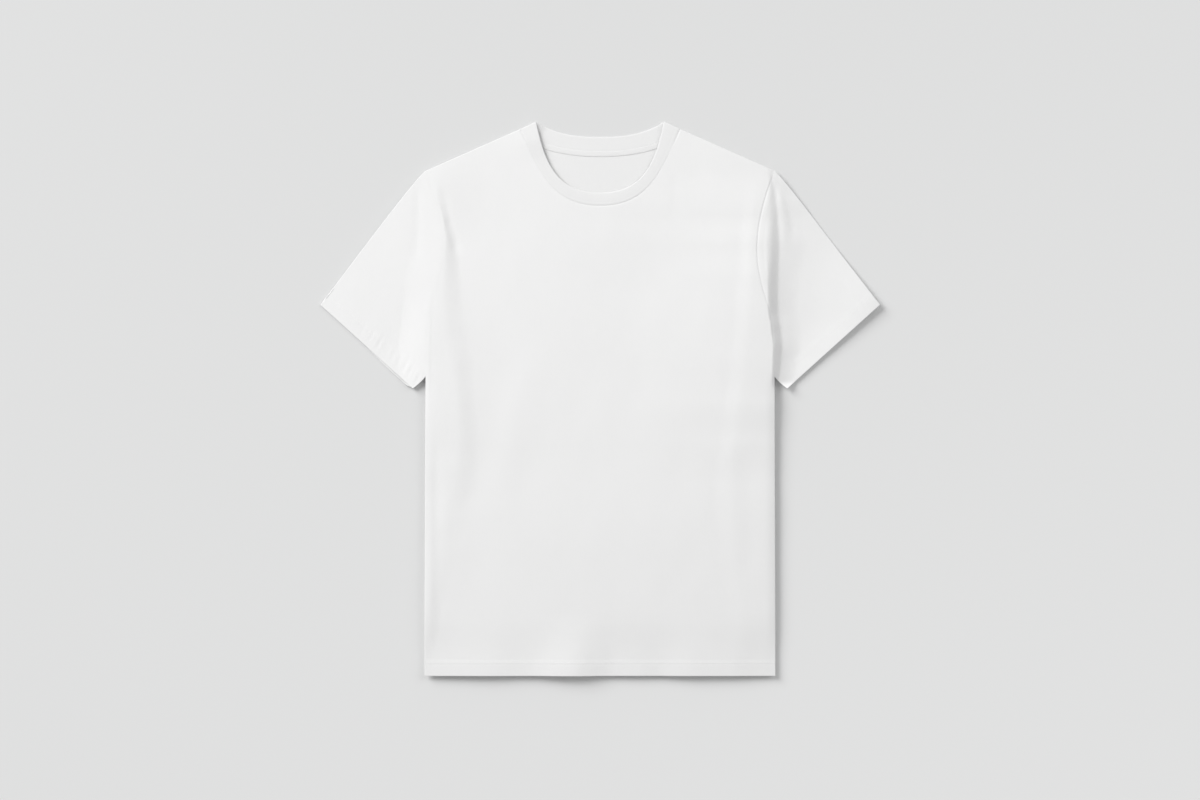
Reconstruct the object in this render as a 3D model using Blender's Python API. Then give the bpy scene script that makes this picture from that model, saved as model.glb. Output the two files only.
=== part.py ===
"""Crew neck t-shirt, laid flat on its back with the collar towards +Y.

The shirt lies in the XY plane and rests on z = 0; the origin is under the middle of its outline. Lengths are
written in millimetres and become metres when a mesh is filled. Each cut piece is one object: the two panels,
the two sleeves, the rib neckband and the tape over the back neck seam.

The cloth is a wall of real thickness. The top layer follows one height field, front_height, and every piece
reads it, so that neighbours meet at their seams with only the sewing gap between them. At a folded edge the
top layer rolls down to the layer that lies on the floor. Points are given for the right half, at +X.
"""

import math

import bmesh
import bpy

MM = 0.001

# Cloth and seams.
CLOTH = 1.3                # wall of single jersey, as laid
HEM_CLOTH = 2.2            # wall of a turned-up hem or cuff
RIB = 2.2                  # wall of the doubled rib
TAPE = 0.9                 # wall of the neck tape
TAPE_WIDTH = 7.4
HEM_DEPTH = 22.0
CUFF_DEPTH = 20.0
SEAM_GAP = 0.3             # clearance between neighbouring pieces

# Plan of the right half (x, y).
HEM_CORNER = (228.0, -361.0)
UNDERARM = (226.6, 30.0)
ARMHOLE_NOTCH = (218.8, 120.0)
ARMHOLE_DEEPEST = (203.8, 195.0)
SHOULDER = (227.0, 297.0)
NECK_POINT = (104.0, 351.5)
COLLAR_TIP = (83.0, 361.4)
CUFF_TOP = (364.0, 123.0)
CUFF_FOOT = (243.0, 14.5)

# Cubic curves between those points, with their two handles.
ARMHOLE_LOW = (UNDERARM, (226.5, 75.0), (222.5, 107.0), ARMHOLE_NOTCH)
ARMHOLE_MIDDLE = (ARMHOLE_NOTCH, (212.0, 140.0), (203.8, 165.0), ARMHOLE_DEEPEST)
ARMHOLE_HIGH = (ARMHOLE_DEEPEST, (203.8, 230.0), (214.0, 265.0), SHOULDER)
SLEEVE_TOP = (SHOULDER, (243.0, 284.0), (300.0, 206.0), CUFF_TOP)
SLEEVE_UNDERARM = (UNDERARM, (232.0, 30.5), (236.0, 26.5), CUFF_FOOT)
FRONT_NECK = (NECK_POINT, (78.0, 293.0), (62.0, 252.0), (0.0, 252.0))
FRONT_RIB_EDGE = (COLLAR_TIP, (72.0, 303.0), (53.0, 268.6), (0.0, 268.6))
BACK_NECK = (NECK_POINT, (78.0, 330.0), (40.0, 323.4), (0.0, 323.4))
BACK_RIB_EDGE = (COLLAR_TIP, (60.0, 346.0), (35.0, 341.4), (0.0, 341.4))

# Heights of the top of the front layer above the floor.
BODY_HEIGHT = 3.4
EDGE_LIFT = 3.0                        # what a folded side, a shoulder or the collar adds
SLEEVE_HEIGHT = 5.2
CUFF_HEIGHT = 7.0
CUFF_RISE = (4.0, 46.0)                # distances from the cuff between which the sleeve rises to it
ROLL_RADIUS = 4.0                      # how far a folded edge rolls, seen from above
SIDE_CREST = 6.0                       # distance from a folded side at which its lift starts to fall
SHOULDER_LIFT_REACH = (14.0, 80.0)     # distances below the shoulder over which its lift falls
COLLAR_CENTRE = (0.0, 320.0)
COLLAR_LIFT_RADII = (85.0, 165.0)      # distances from that centre over which the collar's lift falls
ARMHOLE_LIFT_REACH = (14.0, 50.0)      # distances from the side over which the armhole's lift falls
CREASE_FLOOR = 3.1                     # bottom of the crease where a sleeve tucks against the body
CREASE_SLOPE = 6.5                     # width of its steep side, towards the body
CREASE_SLEEVE_SIDE = (229.0, 242.0)    # x over which it rises to the sleeve again
CREASE_FOOT = (14.0, 40.0)             # y over which it opens, above the underarm

# What the stack of cloth beside the armhole adds to the lift of the side.
ARMHOLE_LIFT = (
    # y, lift
    (20.0, 0.0),
    (70.0, 0.8),
    (240.0, 0.8),
    (300.0, 0.0),
)

# The crease between the body and a sleeve.
CREASE = (
    # y, x of its crest on the body, share of its full depth
    (85.0, 221.0, 1.0),
    (135.0, 216.5, 1.0),
    (205.0, 216.5, 1.0),
    (292.0, 216.5, 0.0),
)

# How far the lift of a side reaches in from its edge.
SIDE_REACH = (
    # y, left, right
    (-330.0, 18.0, 48.0),
    (-230.0, 38.0, 48.0),
    (-150.0, 74.0, 48.0),
    (-60.0, 100.0, 84.0),
    (0.0, 96.0, 98.0),
    (140.0, 70.0, 76.0),
    (300.0, 50.0, 45.0),
)

# The waves in which the hem stands off the floor.
HEM_WAVES = (
    # x, height
    (-228.0, 4.9),
    (-143.0, 6.0),
    (-92.0, 5.1),
    (-35.0, 8.4),
    (16.0, 4.9),
    (47.0, 5.6),
    (75.0, 4.9),
    (120.0, 6.2),
    (163.0, 5.6),
    (195.0, 6.4),
    (228.0, 5.6),
)
HEM_WAVE_REACH = 95.0

# Long soft folds of the front.
FOLDS = (
    # start x, start y, end x, end y, half width, height
    (168.0, -30.0, 170.0, -215.0, 13.0, 0.7),
    (-160.0, 190.0, -96.0, 60.0, 26.0, 0.6),
    (-118.0, 10.0, -140.0, -190.0, 24.0, 0.5),
    (60.0, 20.0, 84.0, -130.0, 22.0, 0.4),
    (238.0, 282.0, 247.0, 190.0, 6.0, 0.9),
    (-238.0, 282.0, -250.0, 180.0, 8.0, 0.5),
)

# Where the lines of the grids run.
ROLL_SHARES = (0.0, 0.134, 0.5, 1.0)      # columns on a rolled edge, as shares of its radius
EDGE_COLUMNS = (4.0, 9.0, 15.0, 23.0, 33.0, 47.0, 64.0)   # columns beyond the roll, on a full row
MIDDLE_COLUMNS = 12
SIDE_ROWS = (-361.0, -340.0, -338.5, -320.0, -298.0, -270.0, -235.0, -198.0, -160.0, -120.0, -80.0, -40.0, 0.0, 18.0)
ARMHOLE_ROWS = (
    # curve, share of it
    (ARMHOLE_LOW, 0.0),
    (ARMHOLE_LOW, 0.09),
    (ARMHOLE_LOW, 0.22),
    (ARMHOLE_LOW, 0.41),
    (ARMHOLE_LOW, 0.6),
    (ARMHOLE_LOW, 0.8),
    (ARMHOLE_MIDDLE, 0.0),
    (ARMHOLE_MIDDLE, 0.35),
    (ARMHOLE_MIDDLE, 0.68),
    (ARMHOLE_HIGH, 0.0),
    (ARMHOLE_HIGH, 0.2),
    (ARMHOLE_HIGH, 0.4),
    (ARMHOLE_HIGH, 0.6),
    (ARMHOLE_HIGH, 0.8),
    (ARMHOLE_HIGH, 0.955),
    (ARMHOLE_HIGH, 1.0),
)
SHOULDER_ROWS = (0.25, 0.55, 0.8, 1.0)    # shares of the shoulder seam
ARCH_POWER = 1.2                          # how early the rows start to arch round the neck
SLEEVE_ROWS = (0.0, 0.04, 0.07, 0.1, 0.13, 0.165, 0.2, 0.25, 0.31, 0.39, 0.5, 0.64, 0.78, 0.9, 1.0)
TAPE_FIRST_COLUMN = 5                     # panel column at which the tape begins
FOLD_INSIDE = 0.8                         # share of the rib's wall between its inside and its fold, behind
SLEEVE_FOLD_FOOT = 0.15                   # where a sleeve's fold meets the floor, as a share of the roll radius
SLEEVE_FOLD_INSIDE = 0.1                  # and how far its inside stands in from the wall
CURVE_SAMPLES = 200                       # steps in which a curve's length is measured
RUN_STEP = 0.005                          # share of a curve over which its direction is taken
CUFF_WALL_BLEND = 4.0                     # half of the length over which the wall grows to the cuff's
SHARP_ANGLE = math.radians(50.0)
RIB_PROFILE = (
    # share of the rib's depth, share of its wall
    (0.0, 0.0),
    (0.5, 0.0),
    (0.94, 0.0),
    (0.985, 0.2),
    (1.0, 0.5),
    (0.985, 0.8),
    (0.94, 1.0),
    (0.5, 1.0),
    (0.0, 1.0),
)

# Finish: name, colour, roughness.
JERSEY = ("white cotton jersey", (0.86, 0.86, 0.86, 1.0), 0.9)
RIB_KNIT = ("white cotton rib", (0.85, 0.85, 0.85, 1.0), 0.92)
TAPE_KNIT = ("white cotton tape", (0.84, 0.84, 0.84, 1.0), 0.92)


def ramp(value, start, end):
    """Smooth step from 0 at start to 1 at end, which may be the lower of the two."""
    share = min(max((value - start) / (end - start), 0.0), 1.0)
    return share * share * (3.0 - 2.0 * share)


def mix(first, second, share):
    return first + (second - first) * share


def mix_point(first, second, share):
    return tuple(mix(a, b, share) for a, b in zip(first, second))


def direction(start, end):
    """Unit vector in plan from start to end."""
    length = math.dist(start, end)
    return ((end[0] - start[0]) / length, (end[1] - start[1]) / length)


def bezier(curve, share):
    """Point of a cubic curve in plan."""
    rest = 1.0 - share
    weights = (rest ** 3, 3 * rest * rest * share, 3 * rest * share * share, share ** 3)
    return tuple(sum(weight * handle[axis] for weight, handle in zip(weights, curve)) for axis in (0, 1))


def beside(curve, share, distance):
    """Point beside a plan curve, to the left of its direction."""
    x, y = bezier(curve, share)
    run = direction(bezier(curve, max(share - RUN_STEP, 0.0)), bezier(curve, min(share + RUN_STEP, 1.0)))
    return (x - run[1] * distance, y + run[0] * distance)


def share_at_length(curve, part):
    """Share of a curve that lies at a part of its length."""
    points = [bezier(curve, index / CURVE_SAMPLES) for index in range(CURVE_SAMPLES + 1)]
    steps = [math.dist(start, end) for start, end in zip(points, points[1:])]
    distance = part * sum(steps)
    for index, step in enumerate(steps):
        if distance <= step:
            return (index + distance / step) / CURVE_SAMPLES
        distance -= step
    return 1.0


def eased_row(table, value, column):
    """Column of a table whose rows rise by their first number, eased from row to row."""
    if value <= table[0][0]:
        return table[0][column]
    for low, high in zip(table, table[1:]):
        if value <= high[0]:
            return mix(low[column], high[column], ramp(value, low[0], high[0]))
    return table[-1][column]


def point_on_line(points, share):
    """Point at a share of the length of a line of points."""
    steps = [math.dist(start, end) for start, end in zip(points, points[1:])]
    distance = share * sum(steps)
    for start, end, step in zip(points, points[1:], steps):
        if distance <= step:
            return mix_point(start, end, distance / step)
        distance -= step
    return points[-1]


# Height field of the top layer.

def side_edge(y):
    """Half width of the body at a height on its side."""
    share = (y - HEM_CORNER[1]) / (UNDERARM[1] - HEM_CORNER[1])
    return mix(HEM_CORNER[0], UNDERARM[0], min(max(share, 0.0), 1.0))


def fold_height(x, y):
    """What the long soft folds add at a point."""
    total = 0.0
    for x0, y0, x1, y1, half_width, height in FOLDS:
        run = direction((x0, y0), (x1, y1))
        length = math.dist((x0, y0), (x1, y1))
        along = (x - x0) * run[0] + (y - y0) * run[1]
        across = (x - x0) * run[1] - (y - y0) * run[0]
        ends = ramp(along, -half_width, half_width) * ramp(along, length + half_width, length - half_width)
        total += height * ends * math.exp(-(across / half_width) ** 2)
    return total


def body_height(x, y):
    """Height of the front of the body, before the crease beside the armhole is cut into it."""
    inward = side_edge(y) - abs(x)
    from_shoulder = (SHOULDER[0] - abs(x)) / (SHOULDER[0] - NECK_POINT[0])
    below_shoulder = mix(SHOULDER[1], NECK_POINT[1], from_shoulder) - y
    flat = ramp(inward, SIDE_CREST, eased_row(SIDE_REACH, y, 1 if x < 0 else 2))
    flat *= ramp(math.dist((x, y), COLLAR_CENTRE), *COLLAR_LIFT_RADII)
    flat *= ramp(below_shoulder, *SHOULDER_LIFT_REACH)
    height = BODY_HEIGHT + EDGE_LIFT * (1.0 - flat)
    height += eased_row(ARMHOLE_LIFT, y, 1) * (1.0 - ramp(inward, *ARMHOLE_LIFT_REACH))
    return mix(height, eased_row(HEM_WAVES, x, 1), ramp(y, HEM_CORNER[1] + HEM_WAVE_REACH, HEM_CORNER[1]))


def cuff_distance(x, y):
    """How far a point of a sleeve lies inside the line of its cuff."""
    run = direction(CUFF_TOP, CUFF_FOOT)
    return (abs(x) - CUFF_TOP[0]) * run[1] - (y - CUFF_TOP[1]) * run[0]


def front_height(x, y):
    """Height of the top of the front layer, on the body and on the sleeves."""
    out = abs(x)
    crest = eased_row(CREASE, y, 1)
    sleeve = mix(CUFF_HEIGHT, SLEEVE_HEIGHT, ramp(cuff_distance(x, y), *CUFF_RISE))
    floor = mix(sleeve, CREASE_FLOOR, eased_row(CREASE, y, 2))
    beyond = mix(floor, sleeve, ramp(out, *CREASE_SLEEVE_SIDE))
    body = body_height(x, y)
    creased = mix(body, beyond, ramp(out, crest, crest + CREASE_SLOPE))
    return mix(body, creased, ramp(y, *CREASE_FOOT)) + fold_height(x, y)


# Plan of the panels.

def panel_border():
    """Right border of a panel from hem to neck: each row's end point and whether it is a rolled edge."""
    border = [((side_edge(y), y), True) for y in SIDE_ROWS]
    for curve, share in ARMHOLE_ROWS:
        point = bezier(curve, share)
        border.append((point, point in (UNDERARM, SHOULDER)))
    border += [(mix_point(SHOULDER, NECK_POINT, share), True) for share in SHOULDER_ROWS]
    return border


def row_shares(width):
    """Shares of a panel's row at which its columns stand."""
    edge = [ROLL_RADIUS * share for share in ROLL_SHARES]
    edge += [ROLL_RADIUS + distance * width / (2 * SHOULDER[0]) for distance in EDGE_COLUMNS]
    step = (width - 2 * edge[-1]) / MIDDLE_COLUMNS
    middle = [edge[-1] + step * (index + 1) for index in range(MIDDLE_COLUMNS - 1)]
    distances = edge + middle + [width - distance for distance in reversed(edge)]
    return [distance / width for distance in distances]


def neck_shares(curve):
    """Shares of a neck curve, from the shoulder to the middle, at which the panels have their columns."""
    row = row_shares(2.0 * NECK_POINT[0])
    return [share_at_length(curve, 2.0 * share) for share in row[:len(row) // 2 + 1]]


def neck_line(curve):
    """Neck border of a panel from left to right, clear of the rib by the sewing gap."""
    right = [beside(curve, share, SEAM_GAP) for share in neck_shares(curve)]
    return [(-x, y) for x, y in right] + right[-2::-1]


def panel_plan(neck_curve):
    """Plan points of a panel, row by row, each row with whether its ends are rolled edges."""
    neck = neck_line(neck_curve)
    chord = [mix(-NECK_POINT[0], NECK_POINT[0], share) for share in row_shares(2.0 * NECK_POINT[0])]
    rows = []
    for (edge_x, edge_y), rolled in panel_border():
        rise = max(edge_y - UNDERARM[1], 0.0) / (NECK_POINT[1] - UNDERARM[1])
        arch = rise ** ARCH_POWER
        row = []
        for share, chord_x, (neck_x, neck_y) in zip(row_shares(2.0 * edge_x), chord, neck):
            x = mix(-edge_x, edge_x, share) + arch * (neck_x - chord_x)
            row.append((x, edge_y + arch * (neck_y - NECK_POINT[1])))
        rows.append((row, rolled))
    return rows


def panel_wall(y):
    """Wall of a body panel by the height of its row: doubled in the hem."""
    return HEM_CLOTH if y < HEM_CORNER[1] + HEM_DEPTH else CLOTH


def edge_turns(count):
    """How far each column of a rolled layer has turned over: 1 at the fold, 0 past its radius."""
    turns = [0.0] * count
    for index, share in enumerate(ROLL_SHARES):
        turns[index] = turns[count - 1 - index] = 1.0 - share
    return turns


def rolled_layer(row, turns, wall_of):
    """Outer and inner points of the top layer along one row that rolls over at both ends."""
    outer, inner = [], []
    first_run = direction(row[0], row[3])
    last_run = direction(row[-1], row[-4])
    for index, ((x, y), turn) in enumerate(zip(row, turns)):
        wall = wall_of(x, y)
        run = first_run if index < len(row) // 2 else last_run
        upright = math.sqrt(1.0 - turn * turn)
        foot = wall + SEAM_GAP
        z = foot + (front_height(x, y) - foot) * upright
        outer.append((x, y, z))
        inner.append((x + run[0] * turn * wall, y + run[1] * turn * wall, z - upright * wall))
    return outer, inner


def front_panel_points():
    """Outer and inner points of the front panel, row by row."""
    layers = []
    for row, rolled in panel_plan(FRONT_NECK):
        turns = edge_turns(len(row)) if rolled else [0.0] * len(row)
        wall = panel_wall(row[0][1])
        layers.append(rolled_layer(row, turns, lambda x, y: wall))
    return [outer for outer, _ in layers], [inner for _, inner in layers]


def back_panel_points():
    """Top and bottom points of the back panel, which lies flat on the floor."""
    rows = [row for row, _ in panel_plan(BACK_NECK)]
    top = [[(x, y, panel_wall(row[0][1])) for x, y in row] for row in rows]
    bottom = [[(x, y, 0.0) for x, y in row] for row in rows]
    return top, bottom


# Sleeves.

def armhole_line():
    """Armhole from shoulder to underarm, moved off the panels by the sewing gap."""
    return [beside(curve, share, -SEAM_GAP) for curve, share in reversed(ARMHOLE_ROWS)]


def sleeve_point(seam, along, across):
    """Plan point of the right sleeve: along from armhole to cuff, across from its top fold to the underarm."""
    top = bezier(SLEEVE_TOP, along)
    foot = bezier(SLEEVE_UNDERARM, along)
    top_chord = mix_point(SHOULDER, CUFF_TOP, along)
    foot_chord = mix_point(UNDERARM, CUFF_FOOT, along)
    straight = mix_point(point_on_line(seam, across), mix_point(CUFF_TOP, CUFF_FOOT, across), along)
    return tuple(
        straight[axis] + mix(top[axis] - top_chord[axis], foot[axis] - foot_chord[axis], across)
        for axis in (0, 1)
    )


def seam_shares(seam):
    """Shares of the armhole at which the panels have their rows, without its rolled ends."""
    steps = [math.dist(start, end) for start, end in zip(seam, seam[1:])]
    shares = [sum(steps[:index]) / sum(steps) for index in range(len(seam))]
    return shares[2:-2]


def sleeve_wall(x, y):
    """Wall of a sleeve: it grows to the turned-up cuff's."""
    return mix(CLOTH, HEM_CLOTH, ramp(cuff_distance(x, y), CUFF_DEPTH + CUFF_WALL_BLEND, CUFF_DEPTH - CUFF_WALL_BLEND))


def sleeve_ring(row):
    """Outer and inner points of one ring of a sleeve: over the top along the row, and back on the floor."""
    outer, inner = rolled_layer(row, edge_turns(len(row)), sleeve_wall)
    under = row[len(ROLL_SHARES):-len(ROLL_SHARES)][::-1]
    folds = ((row[-1], row[-len(ROLL_SHARES)]), (row[0], row[len(ROLL_SHARES) - 1]))
    corners = []
    for end, towards in folds:
        run = direction(end, towards)
        wall = sleeve_wall(*end)
        foot, inside = SLEEVE_FOLD_FOOT * ROLL_RADIUS, wall + SLEEVE_FOLD_INSIDE * ROLL_RADIUS
        corners.append((
            (end[0] + run[0] * foot, end[1] + run[1] * foot, 0.0),
            (end[0] + run[0] * inside, end[1] + run[1] * inside, wall),
        ))
    below = [((x, y, 0.0), (x, y, sleeve_wall(x, y))) for x, y in under]
    for low, high in [corners[0]] + below + [corners[1]]:
        outer.append(low)
        inner.append(high)
    return outer, inner


def sleeve_points(side):
    """Outer and inner rings of one sleeve; side is 1 at +X and -1 at -X."""
    seam = armhole_line()
    rings = []
    for along in SLEEVE_ROWS:
        width = math.dist(sleeve_point(seam, along, 0.0), sleeve_point(seam, along, 1.0))
        roll = [ROLL_RADIUS * share / width for share in ROLL_SHARES]
        shares = roll + seam_shares(seam) + [1.0 - share for share in reversed(roll)]
        plan = [sleeve_point(seam, along, share) for share in shares]
        rings.append(sleeve_ring([(side * x, y) for x, y in plan]))
    return [outer for outer, _ in rings], [inner for _, inner in rings]


# Neck.

def rib_station(seam_curve, free_curve, share, layer, turn):
    """One station of the rib: its seam and free edge in plan, the way on along each, its layer and its turn."""
    after = min(share + RUN_STEP, 1.0)
    before = after - RUN_STEP
    seam_run = direction(bezier(seam_curve, before), bezier(seam_curve, after))
    free_run = direction(bezier(free_curve, before), bezier(free_curve, after))
    return bezier(seam_curve, share), bezier(free_curve, share), seam_run, free_run, layer, turn


def neck_stations():
    """Stations of the rib on the right side, from the middle of the front over the shoulder to the back.

    The layer is 1 on the front and -1 on the back; the turn is 1 at the shoulder's fold and 0 away from it.
    """
    turns = [1.0 - share for share in ROLL_SHARES]
    front = []
    for index, share in enumerate(neck_shares(FRONT_NECK)[1:], start=1):
        turn = turns[index] if index < len(turns) else 0.0
        front.append(rib_station(FRONT_NECK, FRONT_RIB_EDGE, share, 1, turn))
    fold = rib_station(BACK_NECK, BACK_RIB_EDGE, 0.0, 1, 1.0)
    back = []
    for index, share in enumerate(neck_shares(BACK_NECK)[1:]):
        turn = FOLD_INSIDE if index == 0 else 0.0
        back.append(rib_station(BACK_NECK, BACK_RIB_EDGE, share, -1, turn))
    return front[::-1] + [fold] + back


def rib_section(side, seam, free, seam_run, free_run, layer, turn):
    """Points round the rib at one station; side is 1 at +X and -1 at -X."""
    upright = math.sqrt(1.0 - turn * turn)
    foot = RIB + SEAM_GAP
    section = []
    for depth, part in RIB_PROFILE:
        x, y = mix_point(seam, free, depth)
        run = mix_point(seam_run, free_run, depth)
        step = part * RIB * turn
        if layer == 1:
            z = foot + (front_height(side * x, y) - foot) * upright - part * RIB * upright
        else:
            z = part * RIB
        section.append((side * (x + run[0] * step), y + run[1] * step, z))
    return section


def neckband_points():
    """Closed loop of rib sections round the whole neck."""
    stations = neck_stations()
    right = [rib_section(1.0, *station) for station in stations]
    left = [rib_section(-1.0, *station) for station in stations[-2:0:-1]]
    return right + left


def tape_points():
    """Top and bottom points of the neck tape: the back panel's own neck border, moved down the back and up."""
    shares = neck_shares(BACK_NECK)[TAPE_FIRST_COLUMN:]
    low = [beside(BACK_NECK, share, SEAM_GAP + TAPE_WIDTH) for share in shares]
    high = [beside(BACK_NECK, share, SEAM_GAP) for share in shares]
    floor = CLOTH + SEAM_GAP
    top, bottom = [], []
    for line in (low, high):
        whole = [(-x, y) for x, y in line] + line[-2::-1]
        top.append([(x, y, floor + TAPE) for x, y in whole])
        bottom.append([(x, y, floor) for x, y in whole])
    return top, bottom


# Meshes.

def add_sheet(bm, rows):
    """Grid of faces through rows of points; returns its vertices row by row."""
    columns = len(rows[0])
    made = bmesh.ops.create_grid(bm, x_segments=columns - 1, y_segments=len(rows) - 1, size=0.5)
    verts = sorted(made["verts"], key=lambda vert: (round(vert.co.y, 5), round(vert.co.x, 5)))
    grid = [verts[start:start + columns] for start in range(0, len(verts), columns)]
    for vert_row, point_row in zip(grid, rows):
        for vert, point in zip(vert_row, point_row):
            vert.co = [value * MM for value in point]
    return grid


def close_rows(bm, grid):
    """Join the last column of a grid to its first, so that every row is a ring."""
    bmesh.ops.weld_verts(bm, targetmap={row[-1]: row[0] for row in grid})
    return [row[:-1] for row in grid]


def add_rim(bm, outer, inner):
    """Faces between two matching loops of vertices."""
    for index in range(len(outer)):
        after = (index + 1) % len(outer)
        bm.faces.new((outer[after], outer[index], inner[index], inner[after]))


def grid_border(grid):
    """Vertices round the outside of a grid."""
    right = [row[-1] for row in grid[1:-1]]
    left = [row[0] for row in grid[1:-1]]
    return grid[0] + right + grid[-1][::-1] + left[::-1]


def finish_object(name, bm, finish):
    """Turn a closed bmesh into an object with its own material."""
    bmesh.ops.recalc_face_normals(bm, faces=bm.faces)
    mesh = bpy.data.meshes.new(name)
    bm.to_mesh(mesh)
    bm.free()
    mesh.shade_smooth()
    mesh.set_sharp_from_angle(angle=SHARP_ANGLE)
    material_name, colour, roughness = finish
    material = bpy.data.materials.new(f"{material_name}, {name}")
    material.use_nodes = True
    shader = material.node_tree.nodes["Principled BSDF"]
    shader.inputs["Base Color"].default_value = colour
    shader.inputs["Roughness"].default_value = roughness
    mesh.materials.append(material)
    part = bpy.data.objects.new(name, mesh)
    bpy.context.scene.collection.objects.link(part)
    return part


def add_panel(name, outer, inner, finish):
    """Wall between two sheets of points, closed round their border."""
    bm = bmesh.new()
    outer_grid, inner_grid = add_sheet(bm, outer), add_sheet(bm, inner)
    add_rim(bm, grid_border(outer_grid), grid_border(inner_grid))
    return finish_object(name, bm, finish)


def add_tube(name, outer, inner, finish):
    """Wall between two tubes of rings, open at both ends of the tube."""
    bm = bmesh.new()
    outer_grid = close_rows(bm, add_sheet(bm, [row + row[:1] for row in outer]))
    inner_grid = close_rows(bm, add_sheet(bm, [row + row[:1] for row in inner]))
    add_rim(bm, outer_grid[0], inner_grid[0])
    add_rim(bm, outer_grid[-1], inner_grid[-1])
    return finish_object(name, bm, finish)


def add_loop(name, sections, finish):
    """Solid swept through closed sections back to the first one."""
    bm = bmesh.new()
    rings = [section + section[:1] for section in sections]
    grid = add_sheet(bm, rings + rings[:1])
    grid = close_rows(bm, grid)
    bmesh.ops.weld_verts(bm, targetmap=dict(zip(grid[-1], grid[0])))
    return finish_object(name, bm, finish)


def main():
    for old in list(bpy.data.objects):
        bpy.data.objects.remove(old, do_unlink=True)
    add_panel("front_panel", *front_panel_points(), JERSEY)
    add_panel("back_panel", *back_panel_points(), JERSEY)
    add_tube("sleeve_left", *sleeve_points(-1), JERSEY)
    add_tube("sleeve_right", *sleeve_points(1), JERSEY)
    add_loop("neckband", neckband_points(), RIB_KNIT)
    add_panel("neck_tape", *tape_points(), TAPE_KNIT)


main()
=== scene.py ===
"""Crew neck t-shirt, laid flat on its back: its cloth, knits, seams and stitching.

Lengths are written in millimetres and become metres where a mesh is filled. The shirt lies in the
XY plane on z = 0 with its collar towards +Y. The cloth is made as thin shells on the shapes of the
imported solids.
"""

import logging
import math
from collections.abc import Iterable
from dataclasses import KW_ONLY, dataclass, field
from enum import Enum

import bmesh
import bpy
import numpy as np
from mathutils import Matrix, Vector


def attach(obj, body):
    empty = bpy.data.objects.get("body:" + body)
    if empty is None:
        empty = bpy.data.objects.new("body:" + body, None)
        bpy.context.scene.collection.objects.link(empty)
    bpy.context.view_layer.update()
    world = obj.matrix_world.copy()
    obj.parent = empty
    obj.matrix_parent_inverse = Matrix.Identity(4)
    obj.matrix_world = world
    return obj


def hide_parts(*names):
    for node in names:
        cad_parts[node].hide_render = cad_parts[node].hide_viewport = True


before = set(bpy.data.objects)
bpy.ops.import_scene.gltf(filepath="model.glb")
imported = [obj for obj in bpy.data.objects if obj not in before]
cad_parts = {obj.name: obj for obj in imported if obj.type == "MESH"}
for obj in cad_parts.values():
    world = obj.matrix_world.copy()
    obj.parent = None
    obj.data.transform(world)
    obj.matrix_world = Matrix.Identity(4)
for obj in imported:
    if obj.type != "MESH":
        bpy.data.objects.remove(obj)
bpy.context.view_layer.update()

MM = 0.001
BODY = "root"

LOG = logging.getLogger("shirt")

Array = np.ndarray
Point = tuple[float, float]
Pair = tuple[float, float]
Triple = tuple[float, float, float]
Stations = tuple[float, ...]
Socket = bpy.types.NodeSocket
Material = bpy.types.Material
Object = bpy.types.Object


class Slot(Enum):
    """Material slots of the record."""

    JERSEY = "jersey"
    RIB = "rib"
    TAPE = "tape"


class Face(Enum):
    """Which side of the shirt a body panel is."""

    FRONT = "front"
    BACK = "back"


class Side(Enum):
    """Sides of the shirt by the sign of x."""

    LEFT = -1
    RIGHT = 1


# Shapes in plan.


def ease(share: Array) -> Array:
    """Ease a share between level ends at 0 and 1."""
    return share * share * (3.0 - 2.0 * share)


def ramp(value: Array | float, start: float, end: float) -> Array:
    """Step smoothly from 0 at start to 1 at end, which may be the lower of the two."""
    return ease(np.clip((np.asarray(value, float) - start) / (end - start), 0.0, 1.0))


def bell(offset: Array | float, width: Array | float) -> Array:
    """Read a smooth bump that is 1 at offset 0 and fades past its width."""
    return np.exp(-((offset / width) ** 2))


def mix(first: Array | float, second: Array | float, share: Array | float) -> Array:
    """Blend from first to second by a share."""
    return first + (second - first) * share


def unit(vectors: Array) -> Array:
    """Scale vectors to length 1."""
    return vectors / np.maximum(np.linalg.norm(vectors, axis=-1, keepdims=True), 1e-9)


def walked(points: Array) -> Array:
    """Measure how far along a line each of its points lies."""
    return np.concatenate([[0.0], np.cumsum(np.linalg.norm(np.diff(points, axis=0), axis=1))])


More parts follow.
